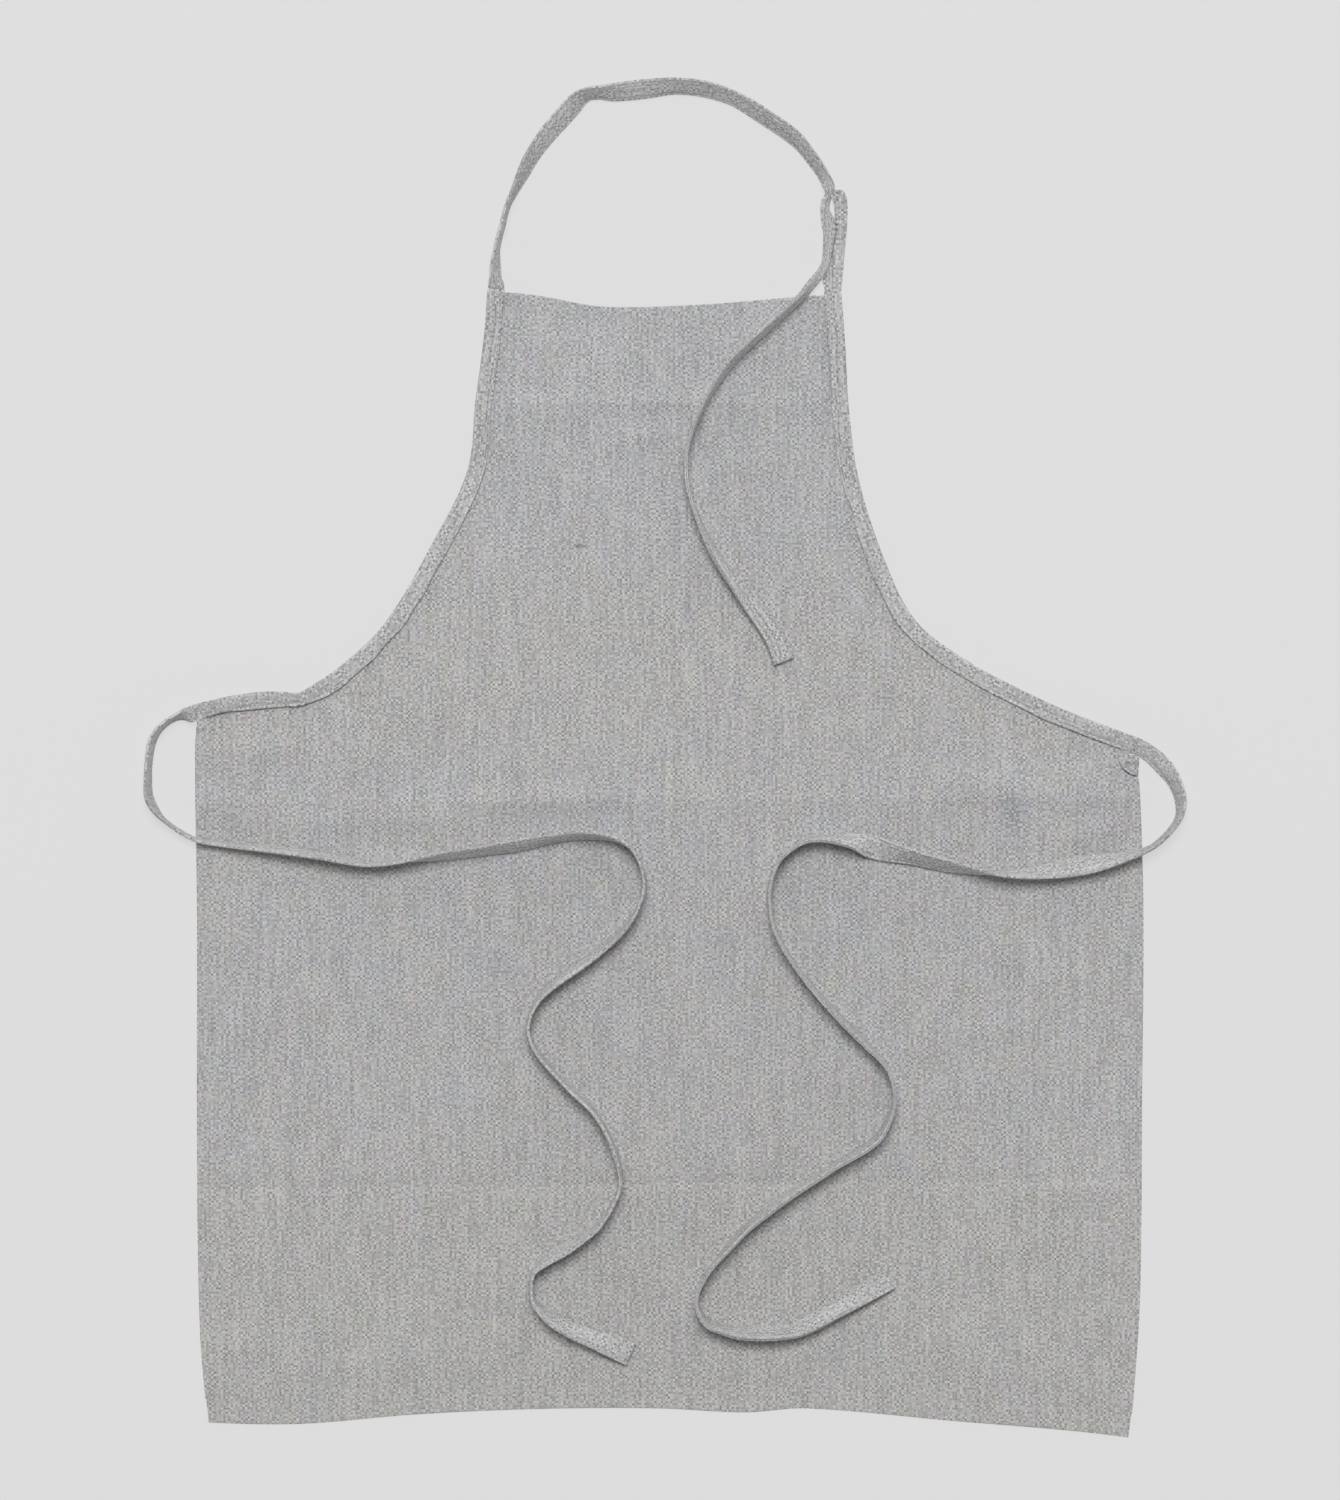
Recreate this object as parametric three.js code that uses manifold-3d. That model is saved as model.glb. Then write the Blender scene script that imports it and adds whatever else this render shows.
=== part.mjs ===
// A bib apron of plain cloth, laid face up on a flat surface.
// Millimetres. The neck lies towards +Y and the front faces +Z.
// The origin is the middle of the whole outline, at the height of the surface.

import * as THREE from 'three';
import { mergeVertices } from 'three/addons/utils/BufferGeometryUtils.js';
import Module from 'manifold-3d';

const wasm = await Module();
wasm.setup();

// Driving dimensions
const CLOTH = 1.0;           // one ply of the body cloth
const GAP = 0.3;             // clearance between pieces that are sewn together
const LAY_GAP = 0.5;         // clearance under a tape that lies on the cloth
const BINDING_WIDTH = 12.5;  // reach of each binding ply from the armhole edge
const BINDING_FOLD = 1.4;    // thickness of the binding where it turns round the edge
const TAPE_WIDTH = 17.5;     // a tie lying flat
const TAPE_THICK = 2.0;      // a tie, folded and sewn
const TAPE_STEP = 6;         // length of tie between two sections
const STRAP_STEP = 5;        // the same on the neck strap and its keeper
const BINDING_RUN = 6;       // a tape runs straight this far from the end of a binding
const SIDE_HEM = 8.5;
const BOTTOM_HEM = 15;
const TOP_HEM = 12;
const HEM_INSET = 0.2;       // a hem's own fold lies this far inside the cloth's edge
const LEFT_HEM_TOP = 22;     // the side hems end below the bindings
const RIGHT_HEM_TOP = -9;
const TOP_HEM_REACH = 112;   // and the bib's hem ends between them
const FOLD_ROUND = 0.7;      // rounding of the binding's outer fold
const EDGE_FLAT = 50;        // width of the rim that the hems and bindings hold off the surface
const EDGE_SAG = 70;         // width over which the cloth comes down inside that rim
const FOLD_START = 22;       // the folds begin this far inside the outline
const FOLD_FULL = 50;        // and have their full height from here
const SHEET_HALF_WIDTH = 360;
const SHEET_HALF_LENGTH = 510;
const SHEET_DEPTH = 20;      // reach of the outline's cut, above and below the cloth
const EDGE_STEP = 14;        // spacing of the points along an edge
const GRID_STEP = 30;        // widest spacing of the cloth's grid lines
const LINE_CLEAR = 5;        // an even grid line this near to a fold's line is left out

const BODY_GREY = 0xabaaaa;
const TAPE_GREY = 0xb0afae;

// Heights that follow from the plies
const EDGE_LIFT = CLOTH + GAP;
const BINDING_HEIGHT = 3 * CLOTH + 2 * GAP;

// Corners of a tape's section, as shares of its width and thickness
const TAPE_CORNERS = [
  new THREE.Vector2(-0.5, -0.5),
  new THREE.Vector2(0.5, -0.5),
  new THREE.Vector2(0.5, 0.5),
  new THREE.Vector2(-0.5, 0.5),
];

// Outer edge of each armhole, from the waist up to the bib
const LEFT_ARMHOLE = [
  { x: -350, y: 39 },
  { x: -310, y: 46 },
  { x: -270, y: 50 },
  { x: -244, y: 65 },
  { x: -208, y: 99 },
  { x: -172, y: 159 },
  { x: -146, y: 213 },
  { x: -140, y: 265 },
  { x: -134, y: 310 },
  { x: -131, y: 347.5 },
];
const RIGHT_ARMHOLE = [
  { x: 351, y: 15 },
  { x: 316, y: 28 },
  { x: 280, y: 43 },
  { x: 223, y: 73 },
  { x: 186, y: 102 },
  { x: 163, y: 147 },
  { x: 144, y: 206 },
  { x: 137, y: 255 },
  { x: 134, y: 305 },
  { x: 131, y: 346 },
];

// Free edges of the body cloth
const LEFT_SIDE = [
  { x: -346.5, y: 36 },
  { x: -346.3, y: 24 },
  { x: -347.5, y: 8 },
  { x: -346, y: -120 },
  { x: -346, y: -280 },
  { x: -344, y: -420 },
  { x: -338, y: -492 },
];
const BOTTOM_EDGE = [
  { x: -338, y: -492 },
  { x: -270, y: -493 },
  { x: -184, y: -486 },
  { x: -95, y: -482 },
  { x: -6, y: -481.5 },
  { x: 60, y: -484.5 },
  { x: 105, y: -481.5 },
  { x: 216, y: -491 },
  { x: 300, y: -498 },
  { x: 344, y: -503 },
];
const RIGHT_SIDE = [
  { x: 344, y: -503 },
  { x: 347, y: -476 },
  { x: 352, y: -400 },
  { x: 353.5, y: -260 },
  { x: 354.5, y: -110 },
  { x: 351.5, y: -20 },
  { x: 348.5, y: -7 },
  { x: 344.5, y: 1 },
  { x: 347, y: 10 },
];
const BIB_TOP = [
  { x: 129, y: 344 },
  { x: 77, y: 339.5 },
  { x: 41, y: 336.5 },
  { x: -10, y: 334 },
  { x: -50, y: 334.5 },
  { x: -92, y: 342 },
  { x: -129, y: 346 },
];

// Pressed creases and soft folds across the cloth, each a low ridge along X
const FOLDS = [
  { x: 0, y: 262, halfLength: 128, halfWidth: 12, height: 1.6 },
  { x: 0, y: -31, halfLength: 300, halfWidth: 14, height: 1.8 },
  { x: 0, y: -300, halfLength: 310, halfWidth: 16, height: 1.0 },
  { x: 0, y: -333, halfLength: 310, halfWidth: 16, height: 1.0 },
  { x: -292, y: 6, halfLength: 50, halfWidth: 13, height: 1.6 },
  { x: -218, y: -53, halfLength: 60, halfWidth: 10, height: 1.4 },
];

// Routes of the tapes. lean is 0 where a tape lies flat and 90 where it stands on edge,
// and grows as its left edge rises. A tape that is bunched gives its own wide and thick.
const LEFT_TIE = [
  { x: -362, y: 28.6, lean: -65, wide: 13 },
  { x: -368.5, y: 25.9, lean: -80, wide: 15 },
  { x: -374.9, y: 19.7, lean: -82 },
  { x: -379, y: 11.7, lean: -78 },
  { x: -380.9, y: 1.5, lean: -77 },
  { x: -382, y: -15, lean: -76 },
  { x: -380.6, y: -31, lean: -75 },
  { x: -370.6, y: -45.5, lean: -82 },
  { x: -348, y: -60, lean: -78 },
  { x: -300, y: -65.5, lean: -73 },
  { x: -255, y: -72, lean: -72 },
  { x: -214, y: -77.6, lean: -77 },
  { x: -166, y: -72.8, lean: -110 },
  { x: -114, y: -65.3, lean: -115 },
  { x: -62, y: -57.2, lean: -105 },
  { x: -27, y: -64.8, lean: -92 },
  { x: -14.6, y: -94, lean: -90 },
  { x: -27, y: -123, lean: -97 },
  { x: -51.5, y: -145.5, lean: -104 },
  { x: -91, y: -175.7, lean: -100 },
  { x: -101, y: -202, lean: -91 },
  { x: -86.8, y: -226.7, lean: -82 },
  { x: -48, y: -268, lean: -83 },
  { x: -32.3, y: -313, lean: -90 },
  { x: -48, y: -344.5, lean: -100 },
  { x: -68, y: -359.6, lean: -112 },
  { x: -87.6, y: -371.6, lean: -108 },
  { x: -97, y: -380.2, lean: -98 },
  { x: -98.2, y: -391.5, lean: -90 },
  { x: -96.6, y: -401, lean: -86 },
  { x: -90.5, y: -407.8, lean: -72 },
  { x: -83.5, y: -414.6, lean: -63 },
  { x: -72, y: -421, lean: -54 },
  { x: -53.4, y: -428.6, lean: -33 },
  { x: -24.7, y: -441.7, lean: -8 },
];
const RIGHT_TIE = [
  { x: 361, y: 2, lean: 8, wide: 13 },
  { x: 370, y: -7, lean: 32, wide: 15 },
  { x: 377, y: -17, lean: 56 },
  { x: 381.7, y: -31, lean: 70 },
  { x: 380, y: -45, lean: 84 },
  { x: 367, y: -61, lean: 87 },
  { x: 354, y: -69, lean: 81 },
  { x: 323, y: -77, lean: 49 },
  { x: 286, y: -83.5, lean: 52 },
  { x: 254, y: -85.7, lean: 76 },
  { x: 226, y: -83, lean: 108 },
  { x: 174, y: -71, lean: 137 },
  { x: 156, y: -66.5, lean: 180 },
  { x: 138.4, y: -61.5, lean: 235 },
  { x: 107.6, y: -60.5, lean: 262 },
  { x: 86.7, y: -73.8, lean: 268 },
  { x: 78.5, y: -92, lean: 269 },
  { x: 77.6, y: -112, lean: 270 },
  { x: 83.3, y: -131.3, lean: 274 },
  { x: 101.6, y: -160.6, lean: 277 },
  { x: 127, y: -189.5, lean: 281 },
  { x: 150.4, y: -212.9, lean: 280 },
  { x: 164.9, y: -229.9, lean: 277 },
  { x: 170, y: -248, lean: 270 },
  { x: 167.3, y: -263.7, lean: 263 },
  { x: 155.5, y: -283, lean: 257 },
  { x: 122.3, y: -304, lean: 258 },
  { x: 66.5, y: -342.6, lean: 257 },
  { x: 37.2, y: -373.6, lean: 265 },
  { x: 27.2, y: -389, lean: 268 },
  { x: 23.8, y: -402, lean: 272 },
  { x: 27, y: -411.5, lean: 277 },
  { x: 32.3, y: -418, lean: 282 },
  { x: 42, y: -421.8, lean: 286 },
  { x: 56.8, y: -425.4, lean: 291 },
  { x: 86.7, y: -424.6, lean: 301 },
  { x: 101.3, y: -420.7, lean: 307 },
  { x: 130.8, y: -405.1, lean: 326, wide: 16.5 },
  { x: 167, y: -385.7, lean: 350, wide: 15.5 },
];
const NECK_STRAP = [
  { x: -125.6, y: 361, lean: 58, wide: 12 },
  { x: -125, y: 369, lean: 70, wide: 14 },
  { x: -123.4, y: 379.3, lean: 78, wide: 15.5 },
  { x: -118.8, y: 398.7, lean: 84 },
  { x: -112.7, y: 417.8, lean: 81 },
  { x: -105.2, y: 433.3, lean: 66 },
  { x: -97.5, y: 446, lean: 57 },
  { x: -86, y: 462, lean: 51 },
  { x: -76.2, y: 473.2, lean: 48 },
  { x: -64.5, y: 486.6, lean: 60 },
  { x: -53.3, y: 492.4, lean: 62 },
  { x: -36, y: 493, lean: 51 },
  { x: -14, y: 495, lean: 44 },
  { x: 8, y: 497, lean: 54 },
  { x: 30, y: 494.8, lean: 58 },
  { x: 52, y: 487.5, lean: 62 },
  { x: 74.5, y: 474, lean: 55 },
  { x: 97, y: 458, lean: 57 },
  { x: 109.5, y: 443, lean: 60 },
  { x: 118, y: 430, lean: 42, wide: 11 },
  { x: 121.6, y: 419, lean: 0, wide: 9, thick: 3.2 },
  { x: 121.2, y: 411, lean: 0, wide: 5, thick: 3, lift: 0.1 },
  { x: 120.6, y: 405, lean: 0, wide: 4.8, thick: 3.4, lift: 0.6 },
  { x: 120.3, y: 398, lean: 0, wide: 4.8, thick: 4, lift: 1.9 },
  { x: 120.5, y: 392, lean: 0, wide: 4.8, thick: 4, lift: 2.7 },
  { x: 120.9, y: 386, lean: -2, wide: 6, thick: 4, lift: 3.1 },
  { x: 120.9, y: 379, lean: -6, wide: 7.5, thick: 3.8, lift: 2.8 },
  { x: 119.2, y: 368, lean: -12, wide: 8, thick: 3.4, lift: 2.7 },
  { x: 115.4, y: 359, lean: -24, wide: 8.5, thick: 3, lift: 3.8 },
  { x: 109.6, y: 351, lean: -52, wide: 11, thick: 2.4, lift: 3.2 },
  { x: 100.3, y: 340, lean: -74, wide: 15 },
  { x: 72.2, y: 315.8, lean: -68 },
  { x: 45.8, y: 290, lean: -70 },
  { x: 27.4, y: 259.2, lean: -80 },
  { x: 16.9, y: 228.2, lean: -84 },
  { x: 16.8, y: 209, lean: -89 },
  { x: 20, y: 193, lean: -86, wide: 16 },
  { x: 26.7, y: 175.2, lean: -81, wide: 16 },
  { x: 36.3, y: 154.7, lean: -69, wide: 15.5 },
  { x: 47.4, y: 137.4, lean: -57, wide: 15 },
  { x: 61.6, y: 117.1, lean: -37, wide: 15 },
  { x: 73.6, y: 101, lean: -22, wide: 15 },
  { x: 81.8, y: 88, lean: -14, wide: 15 },
  { x: 88.3, y: 71.2, lean: -8, wide: 15 },
];
const STRAP_KEEPER = [
  { x: 125, y: 358, lean: 0, wide: 16, thick: 2.4 },
  { x: 124.6, y: 372, lean: 0 },
  { x: 124.4, y: 384, lean: 0, wide: 19, lift: 0.2 },
  { x: 124.2, y: 398, lean: 0, wide: 20.5, lift: 2 },
  { x: 124.2, y: 411, lean: 0, wide: 20, lift: 4 },
  { x: 124.2, y: 418.5, lean: 0, wide: 14, lift: 4.2 },
];
const KEEPER_SLIT = { x: 121.6, y: 398.5, halfWidth: 5.5, halfLength: 13, depth: 30 };

// Even points along a smooth curve through the rows of an edge table
function smoothEdge(rows) {
  const points = rows.map(({ x, y }) => new THREE.Vector3(x, y, 0));
  const curve = new THREE.CatmullRomCurve3(points);
  const count = Math.ceil(curve.getLength() / EDGE_STEP);
  return curve.getSpacedPoints(count);
}

// Stations along an edge: a point, the way along, and the way in, on the side given
function edgeStations(points, side) {
  return points.map((point, i) => {
    const before = points[Math.max(i - 1, 0)];
    const after = points[Math.min(i + 1, points.length - 1)];
    const along = after.clone().sub(before).normalize();
    const inward = new THREE.Vector3(-along.y * side, along.x * side, 0);
    return { point, along, inward };
  });
}

// A closed solid through rings of equal length, capped at both ends
function loft(rings, capOutline) {
  const size = rings[0].length;
  const positions = rings.flat().flatMap((p) => [p.x, p.y, p.z]);
  const faces = [];
  for (let r = 0; r < rings.length - 1; r++) {
    for (let k = 0; k < size; k++) {
      const a = r * size + k;
      const b = r * size + ((k + 1) % size);
      faces.push([a, b, b + size], [a, b + size, a + size]);
    }
  }
  const last = (rings.length - 1) * size;
  for (const [a, b, c] of THREE.ShapeUtils.triangulateShape(capOutline, [])) {
    faces.push([c, b, a], [a + last, b + last, c + last]);
  }
  return closedGeometry(positions, faces);
}

// An indexed geometry whose faces point out of the volume that they close
function closedGeometry(positions, faces) {
  const corner = (i) => new THREE.Vector3().fromArray(positions, i * 3);
  const volume = faces.reduce((sum, [a, b, c]) => sum + corner(a).dot(corner(b).cross(corner(c))), 0);
  const outward = volume > 0 ? faces : faces.map(([a, b, c]) => [a, c, b]);
  const geometry = new THREE.BufferGeometry();
  geometry.setAttribute('position', new THREE.Float32BufferAttribute(positions, 3));
  geometry.setIndex(outward.flat());
  return geometry;
}

// A section of (inward, height) corners swept along an edge
function sweepEdge(stations, corners) {
  const outline = corners.map(([inward, height]) => new THREE.Vector2(inward, height));
  const rings = stations.map(({ point, inward }) =>
    outline.map((c) => point.clone().addScaledVector(inward, c.x).setZ(c.y)));
  return loft(rings, outline);
}

function toSolid(geometry) {
  const vertProperties = new Float32Array(geometry.getAttribute('position').array);
  const triVerts = new Uint32Array(geometry.getIndex().array);
  return new wasm.Manifold(new wasm.Mesh({ numProp: 3, vertProperties, triVerts }));
}

function toGeometry(solid) {
  const mesh = solid.getMesh();
  const geometry = new THREE.BufferGeometry();
  geometry.setAttribute('position', new THREE.Float32BufferAttribute(mesh.vertProperties, 3));
  geometry.setIndex(Array.from(mesh.triVerts));
  return geometry;
}

// A flat shape extruded straight up, with its shared corners merged
function prism(shape, bottom, top) {
  const geometry = new THREE.ExtrudeGeometry(shape, { depth: top - bottom, bevelEnabled: false });
  geometry.translate(0, 0, bottom);
  geometry.deleteAttribute('normal');
  geometry.deleteAttribute('uv');
  return toSolid(mergeVertices(geometry));
}

// Edges as stations, anticlockwise round the body where they are free
const leftBinding = edgeStations(smoothEdge(LEFT_ARMHOLE), -1);
const rightBinding = edgeStations(smoothEdge(RIGHT_ARMHOLE), 1);
const leftSide = edgeStations(smoothEdge(LEFT_SIDE), 1);
const bottomEdge = edgeStations(smoothEdge(BOTTOM_EDGE), 1);
const rightSide = edgeStations(smoothEdge(RIGHT_SIDE), 1);
const bibTop = edgeStations(smoothEdge(BIB_TOP), 1);

// The cloth's edge inside a binding lies just clear of the binding's fold
function boundEdge(binding) {
  return binding.slice(1, -1).map(({ point, inward }) =>
    point.clone().addScaledVector(inward, BINDING_FOLD + GAP));
}

const clothOutline = [
  ...bottomEdge.map(({ point }) => point),
  ...rightSide.slice(1).map(({ point }) => point),
  ...boundEdge(rightBinding),
  ...bibTop.map(({ point }) => point),
  ...boundEdge(leftBinding).reverse(),
  ...leftSide.slice(0, -1).map(({ point }) => point),
];

function nextCorner(i) {
  return clothOutline[(i + 1) % clothOutline.length];
}

function edgeDistance(x, y) {
  const spot = new THREE.Vector3(x, y, 0);
  const nearest = new THREE.Vector3();
  const distances = clothOutline.map((start, i) =>
    new THREE.Line3(start, nextCorner(i)).closestPointToPoint(spot, true, nearest).distanceTo(spot));
  return Math.min(...distances);
}

function insideCloth(x, y) {
  const crossings = clothOutline.filter((a, i) => {
    const b = nextCorner(i);
    const spans = (a.y > y) !== (b.y > y);
    return spans && x < a.x + ((b.x - a.x) * (y - a.y)) / (b.y - a.y);
  });
  return crossings.length % 2 === 1;
}

// Underside of the cloth: held up at its rim, flat on the surface inside, raised at the folds
function foldHeight({ x, y, halfLength, halfWidth, height }, atX, atY) {
  const end = Math.max(0, 1 - ((atX - x) / halfLength) ** 4);
  const slope = Math.min(1, Math.abs(atY - y) / halfWidth);
  return height * end * 0.5 * (1 + Math.cos(Math.PI * slope));
}

function underside(x, y) {
  const distance = insideCloth(x, y) ? edgeDistance(x, y) : 0;
  const rim = 1 - THREE.MathUtils.smoothstep(distance, EDGE_FLAT, EDGE_FLAT + EDGE_SAG);
  const free = THREE.MathUtils.smoothstep(distance, FOLD_START, FOLD_FULL);
  const folds = FOLDS.reduce((sum, fold) => sum + foldHeight(fold, x, y), 0);
  return EDGE_LIFT * rim + free * folds;
}

// Grid lines of the cloth: even ones, with extra ones at each fold
function gridLines(from, to, extra = []) {
  const count = Math.ceil((to - from) / GRID_STEP);
  const even = Array.from({ length: count + 1 }, (_, i) => from + ((to - from) * i) / count);
  const clear = even.filter((v) => extra.every((e) => Math.abs(e - v) > LINE_CLEAR));
  return [...clear, ...extra].sort((a, b) => a - b);
}

const foldLines = FOLDS.flatMap(({ y, halfWidth }) => [-1, -0.5, 0, 0.5, 1].map((k) => y + k * halfWidth));
const xLines = gridLines(-SHEET_HALF_WIDTH, SHEET_HALF_WIDTH);
const yLines = gridLines(-SHEET_HALF_LENGTH, SHEET_HALF_LENGTH, foldLines);
const heights = yLines.map((y) => xLines.map((x) => underside(x, y)));

// Height of the grid's own triangles at a spot
function sheetHeight(x, y) {
  const i = xLines.findIndex((line, k) => k > 0 && line >= x) - 1;
  const j = yLines.findIndex((line, k) => k > 0 && line >= y) - 1;
  const u = (x - xLines[i]) / (xLines[i + 1] - xLines[i]);
  const v = (y - yLines[j]) / (yLines[j + 1] - yLines[j]);
  const [a, b] = [heights[j][i], heights[j][i + 1]];
  const [d, c] = [heights[j + 1][i], heights[j + 1][i + 1]];
  return u >= v ? a + u * (b - a) + v * (c - b) : a + v * (d - a) + u * (c - d);
}

// Height of what a tape lies on: the cloth, or the bare surface beside it
function supportHeight(x, y) {
  return insideCloth(x, y) ? sheetHeight(x, y) + CLOTH + LAY_GAP : 0;
}

function clothSheet() {
  const wide = xLines.length;
  const count = wide * yLines.length;
  const grid = yLines.flatMap((y, j) => xLines.map((x, i) => [x, y, heights[j][i]]));
  const positions = [...grid, ...grid.map(([x, y, z]) => [x, y, z + CLOTH])].flat();
  const faces = [];
  for (let j = 0; j < yLines.length - 1; j++) {
    for (let i = 0; i < wide - 1; i++) {
      const a = j * wide + i;
      const [b, c, d] = [a + 1, a + wide + 1, a + wide];
      faces.push([a, c, b], [a, d, c]);
      faces.push([a + count, b + count, c + count], [a + count, c + count, d + count]);
    }
  }
  const rim = [
    ...xLines.map((_, i) => i),
    ...yLines.slice(1).map((_, j) => (j + 2) * wide - 1),
    ...xLines.slice(1).map((_, i) => count - 2 - i),
    ...yLines.slice(1, -1).map((_, j) => (yLines.length - 2 - j) * wide),
  ];
  rim.forEach((a, k) => {
    const b = rim[(k + 1) % rim.length];
    faces.push([a, b, b + count], [a, b + count, a + count]);
  });
  return closedGeometry(positions, faces);
}

// A hem is one more ply under the cloth's edge, sunk halfway into the cloth to join it
function hem(stations, width) {
  const joint = EDGE_LIFT + CLOTH / 2;
  return toSolid(sweepEdge(stations, [
    [HEM_INSET, 0],
    [width, 0],
    [width, joint],
    [HEM_INSET, joint],
  ]));
}

function bodyPanel() {
  const outline = new THREE.Shape(clothOutline.map(({ x, y }) => new THREE.Vector2(x, y)));
  const cloth = toSolid(clothSheet()).intersect(prism(outline, -SHEET_DEPTH, SHEET_DEPTH));
  const hems = [
    hem(leftSide.filter(({ point }) => point.y < LEFT_HEM_TOP), SIDE_HEM),
    hem(rightSide.filter(({ point }) => point.y < RIGHT_HEM_TOP), SIDE_HEM),
    hem(bottomEdge, BOTTOM_HEM),
    hem(bibTop.filter(({ point }) => Math.abs(point.x) < TOP_HEM_REACH), TOP_HEM),
  ];
  return toGeometry(hems.reduce((body, strip) => body.add(strip), cloth));
}

// Tape folded over an armhole edge: a back ply, the fold, and a front ply
function armholeBinding(stations) {
  return sweepEdge(stations, [
    [FOLD_ROUND, 0],
    [BINDING_WIDTH, 0],
    [BINDING_WIDTH, CLOTH],
    [BINDING_FOLD, CLOTH],
    [BINDING_FOLD, BINDING_HEIGHT - CLOTH],
    [BINDING_WIDTH, BINDING_HEIGHT - CLOTH],
    [BINDING_WIDTH, BINDING_HEIGHT],
    [FOLD_ROUND, BINDING_HEIGHT],
    [0, BINDING_HEIGHT - FOLD_ROUND],
    [0, FOLD_ROUND],
  ]);
}

// The first rows of a tape that goes on from a binding's end, away from the cloth
function fromBinding({ point, along, inward }, way) {
  return [0, 0.5, 1].map((share) => {
    const middle = point.clone().addScaledVector(inward, BINDING_WIDTH / 2);
    middle.addScaledVector(along, way * (GAP + share * BINDING_RUN));
    return { x: middle.x, y: middle.y, lean: 0, wide: BINDING_WIDTH, thick: BINDING_HEIGHT };
  });
}

// Sections along a route, with every column of its table interpolated
function tapeSections(rows, step) {
  const keys = [0];
  rows.slice(1).forEach(({ x, y }, i) => keys.push(keys[i] + Math.hypot(x - rows[i].x, y - rows[i].y)));
  const values = rows.flatMap(({ x, y, lean, wide = TAPE_WIDTH, thick = TAPE_THICK, lift = 0 }) =>
    [x, y, lean, wide, thick, lift]);
  const spline = new THREE.CubicInterpolant(keys, values, 6);
  const count = Math.ceil(keys.at(-1) / step);
  return Array.from({ length: count + 1 }, (_, i) => {
    const [x, y, lean, wide, thick, lift] = spline.evaluate((keys.at(-1) * i) / count);
    return { point: new THREE.Vector3(x, y, 0), lean: THREE.MathUtils.degToRad(lean), wide, thick, lift };
  });
}

function tape(rows, step) {
  const sections = tapeSections(rows, step);
  const stations = edgeStations(sections.map(({ point }) => point), 1);
  const supports = sections.map(({ point, lean, wide }, i) => {
    const reach = 0.5 * wide * Math.abs(Math.cos(lean));
    const spots = [-reach, 0, reach].map((r) => point.clone().addScaledVector(stations[i].inward, r));
    return Math.max(...spots.map(({ x, y }) => supportHeight(x, y)));
  });
  const rings = sections.map(({ point, lean, wide, thick, lift }, i) => {
    const up = new THREE.Vector3(0, 0, 1);
    const left = stations[i].inward;
    const across = left.clone().multiplyScalar(Math.cos(lean)).addScaledVector(up, Math.sin(lean));
    const face = left.clone().multiplyScalar(-Math.sin(lean)).addScaledVector(up, Math.cos(lean));
    const support = Math.max(...supports.slice(Math.max(0, i - 1), i + 2));
    const rise = 0.5 * (wide * Math.abs(Math.sin(lean)) + thick * Math.abs(Math.cos(lean)));
    const centre = point.clone().setZ(support + Math.max(0, lift) + rise);
    return TAPE_CORNERS.map(({ x, y }) =>
      centre.clone().addScaledVector(across, x * wide).addScaledVector(face, y * thick));
  });
  return loft(rings, TAPE_CORNERS);
}

function strapKeeper() {
  const stub = tape([...fromBinding(rightBinding.at(-1), 1), ...STRAP_KEEPER], STRAP_STEP);
  const { x, y, halfWidth, halfLength, depth } = KEEPER_SLIT;
  const slit = new THREE.Shape();
  slit.absellipse(x, y, halfWidth, halfLength, 0, 2 * Math.PI);
  return toGeometry(toSolid(stub).subtract(prism(slit, -depth, depth)));
}

const apron = new THREE.Group();

function addPiece(name, geometry, color) {
  geometry.computeVertexNormals();
  const material = new THREE.MeshStandardMaterial({ color, roughness: 0.9, metalness: 0 });
  const mesh = new THREE.Mesh(geometry, material);
  mesh.name = name;
  apron.add(mesh);
}

addPiece('body_panel', bodyPanel(), BODY_GREY);
addPiece('left_binding', armholeBinding(leftBinding), TAPE_GREY);
addPiece('right_binding', armholeBinding(rightBinding), TAPE_GREY);
addPiece('neck_strap', tape([...fromBinding(leftBinding.at(-1), 1), ...NECK_STRAP], STRAP_STEP), TAPE_GREY);
addPiece('strap_keeper', strapKeeper(), TAPE_GREY);
addPiece('left_tie', tape([...fromBinding(leftBinding[0], -1), ...LEFT_TIE], TAPE_STEP), TAPE_GREY);
addPiece('right_tie', tape([...fromBinding(rightBinding[0], -1), ...RIGHT_TIE], TAPE_STEP), TAPE_GREY);

export default apron;
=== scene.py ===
# %% [markdown]
# # A bib apron, laid flat
# The object is a plain grey kitchen apron that lies face up on a pale surface.
# One frame of simple solids already has its size and its outline, and this lesson
# dresses that frame with real cloth: a hemmed body, bound armholes, two loose waist
# ties and a neck strap that is drawn through a slit in a short keeper.

# %% Load the frame
import math

import bpy
import numpy as np
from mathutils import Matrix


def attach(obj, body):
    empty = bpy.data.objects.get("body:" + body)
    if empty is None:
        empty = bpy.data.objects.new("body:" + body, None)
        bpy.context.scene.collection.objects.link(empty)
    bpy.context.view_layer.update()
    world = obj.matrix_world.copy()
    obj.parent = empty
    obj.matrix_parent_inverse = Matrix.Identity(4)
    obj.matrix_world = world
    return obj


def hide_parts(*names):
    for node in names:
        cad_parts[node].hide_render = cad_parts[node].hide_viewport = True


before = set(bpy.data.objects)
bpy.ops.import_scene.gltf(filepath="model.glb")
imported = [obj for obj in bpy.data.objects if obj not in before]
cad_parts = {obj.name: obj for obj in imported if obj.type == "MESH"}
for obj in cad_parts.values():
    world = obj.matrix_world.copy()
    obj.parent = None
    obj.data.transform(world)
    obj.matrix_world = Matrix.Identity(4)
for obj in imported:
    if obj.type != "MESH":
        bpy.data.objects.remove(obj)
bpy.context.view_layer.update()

MM = 0.001
print("frame nodes:", sorted(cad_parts))

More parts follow.
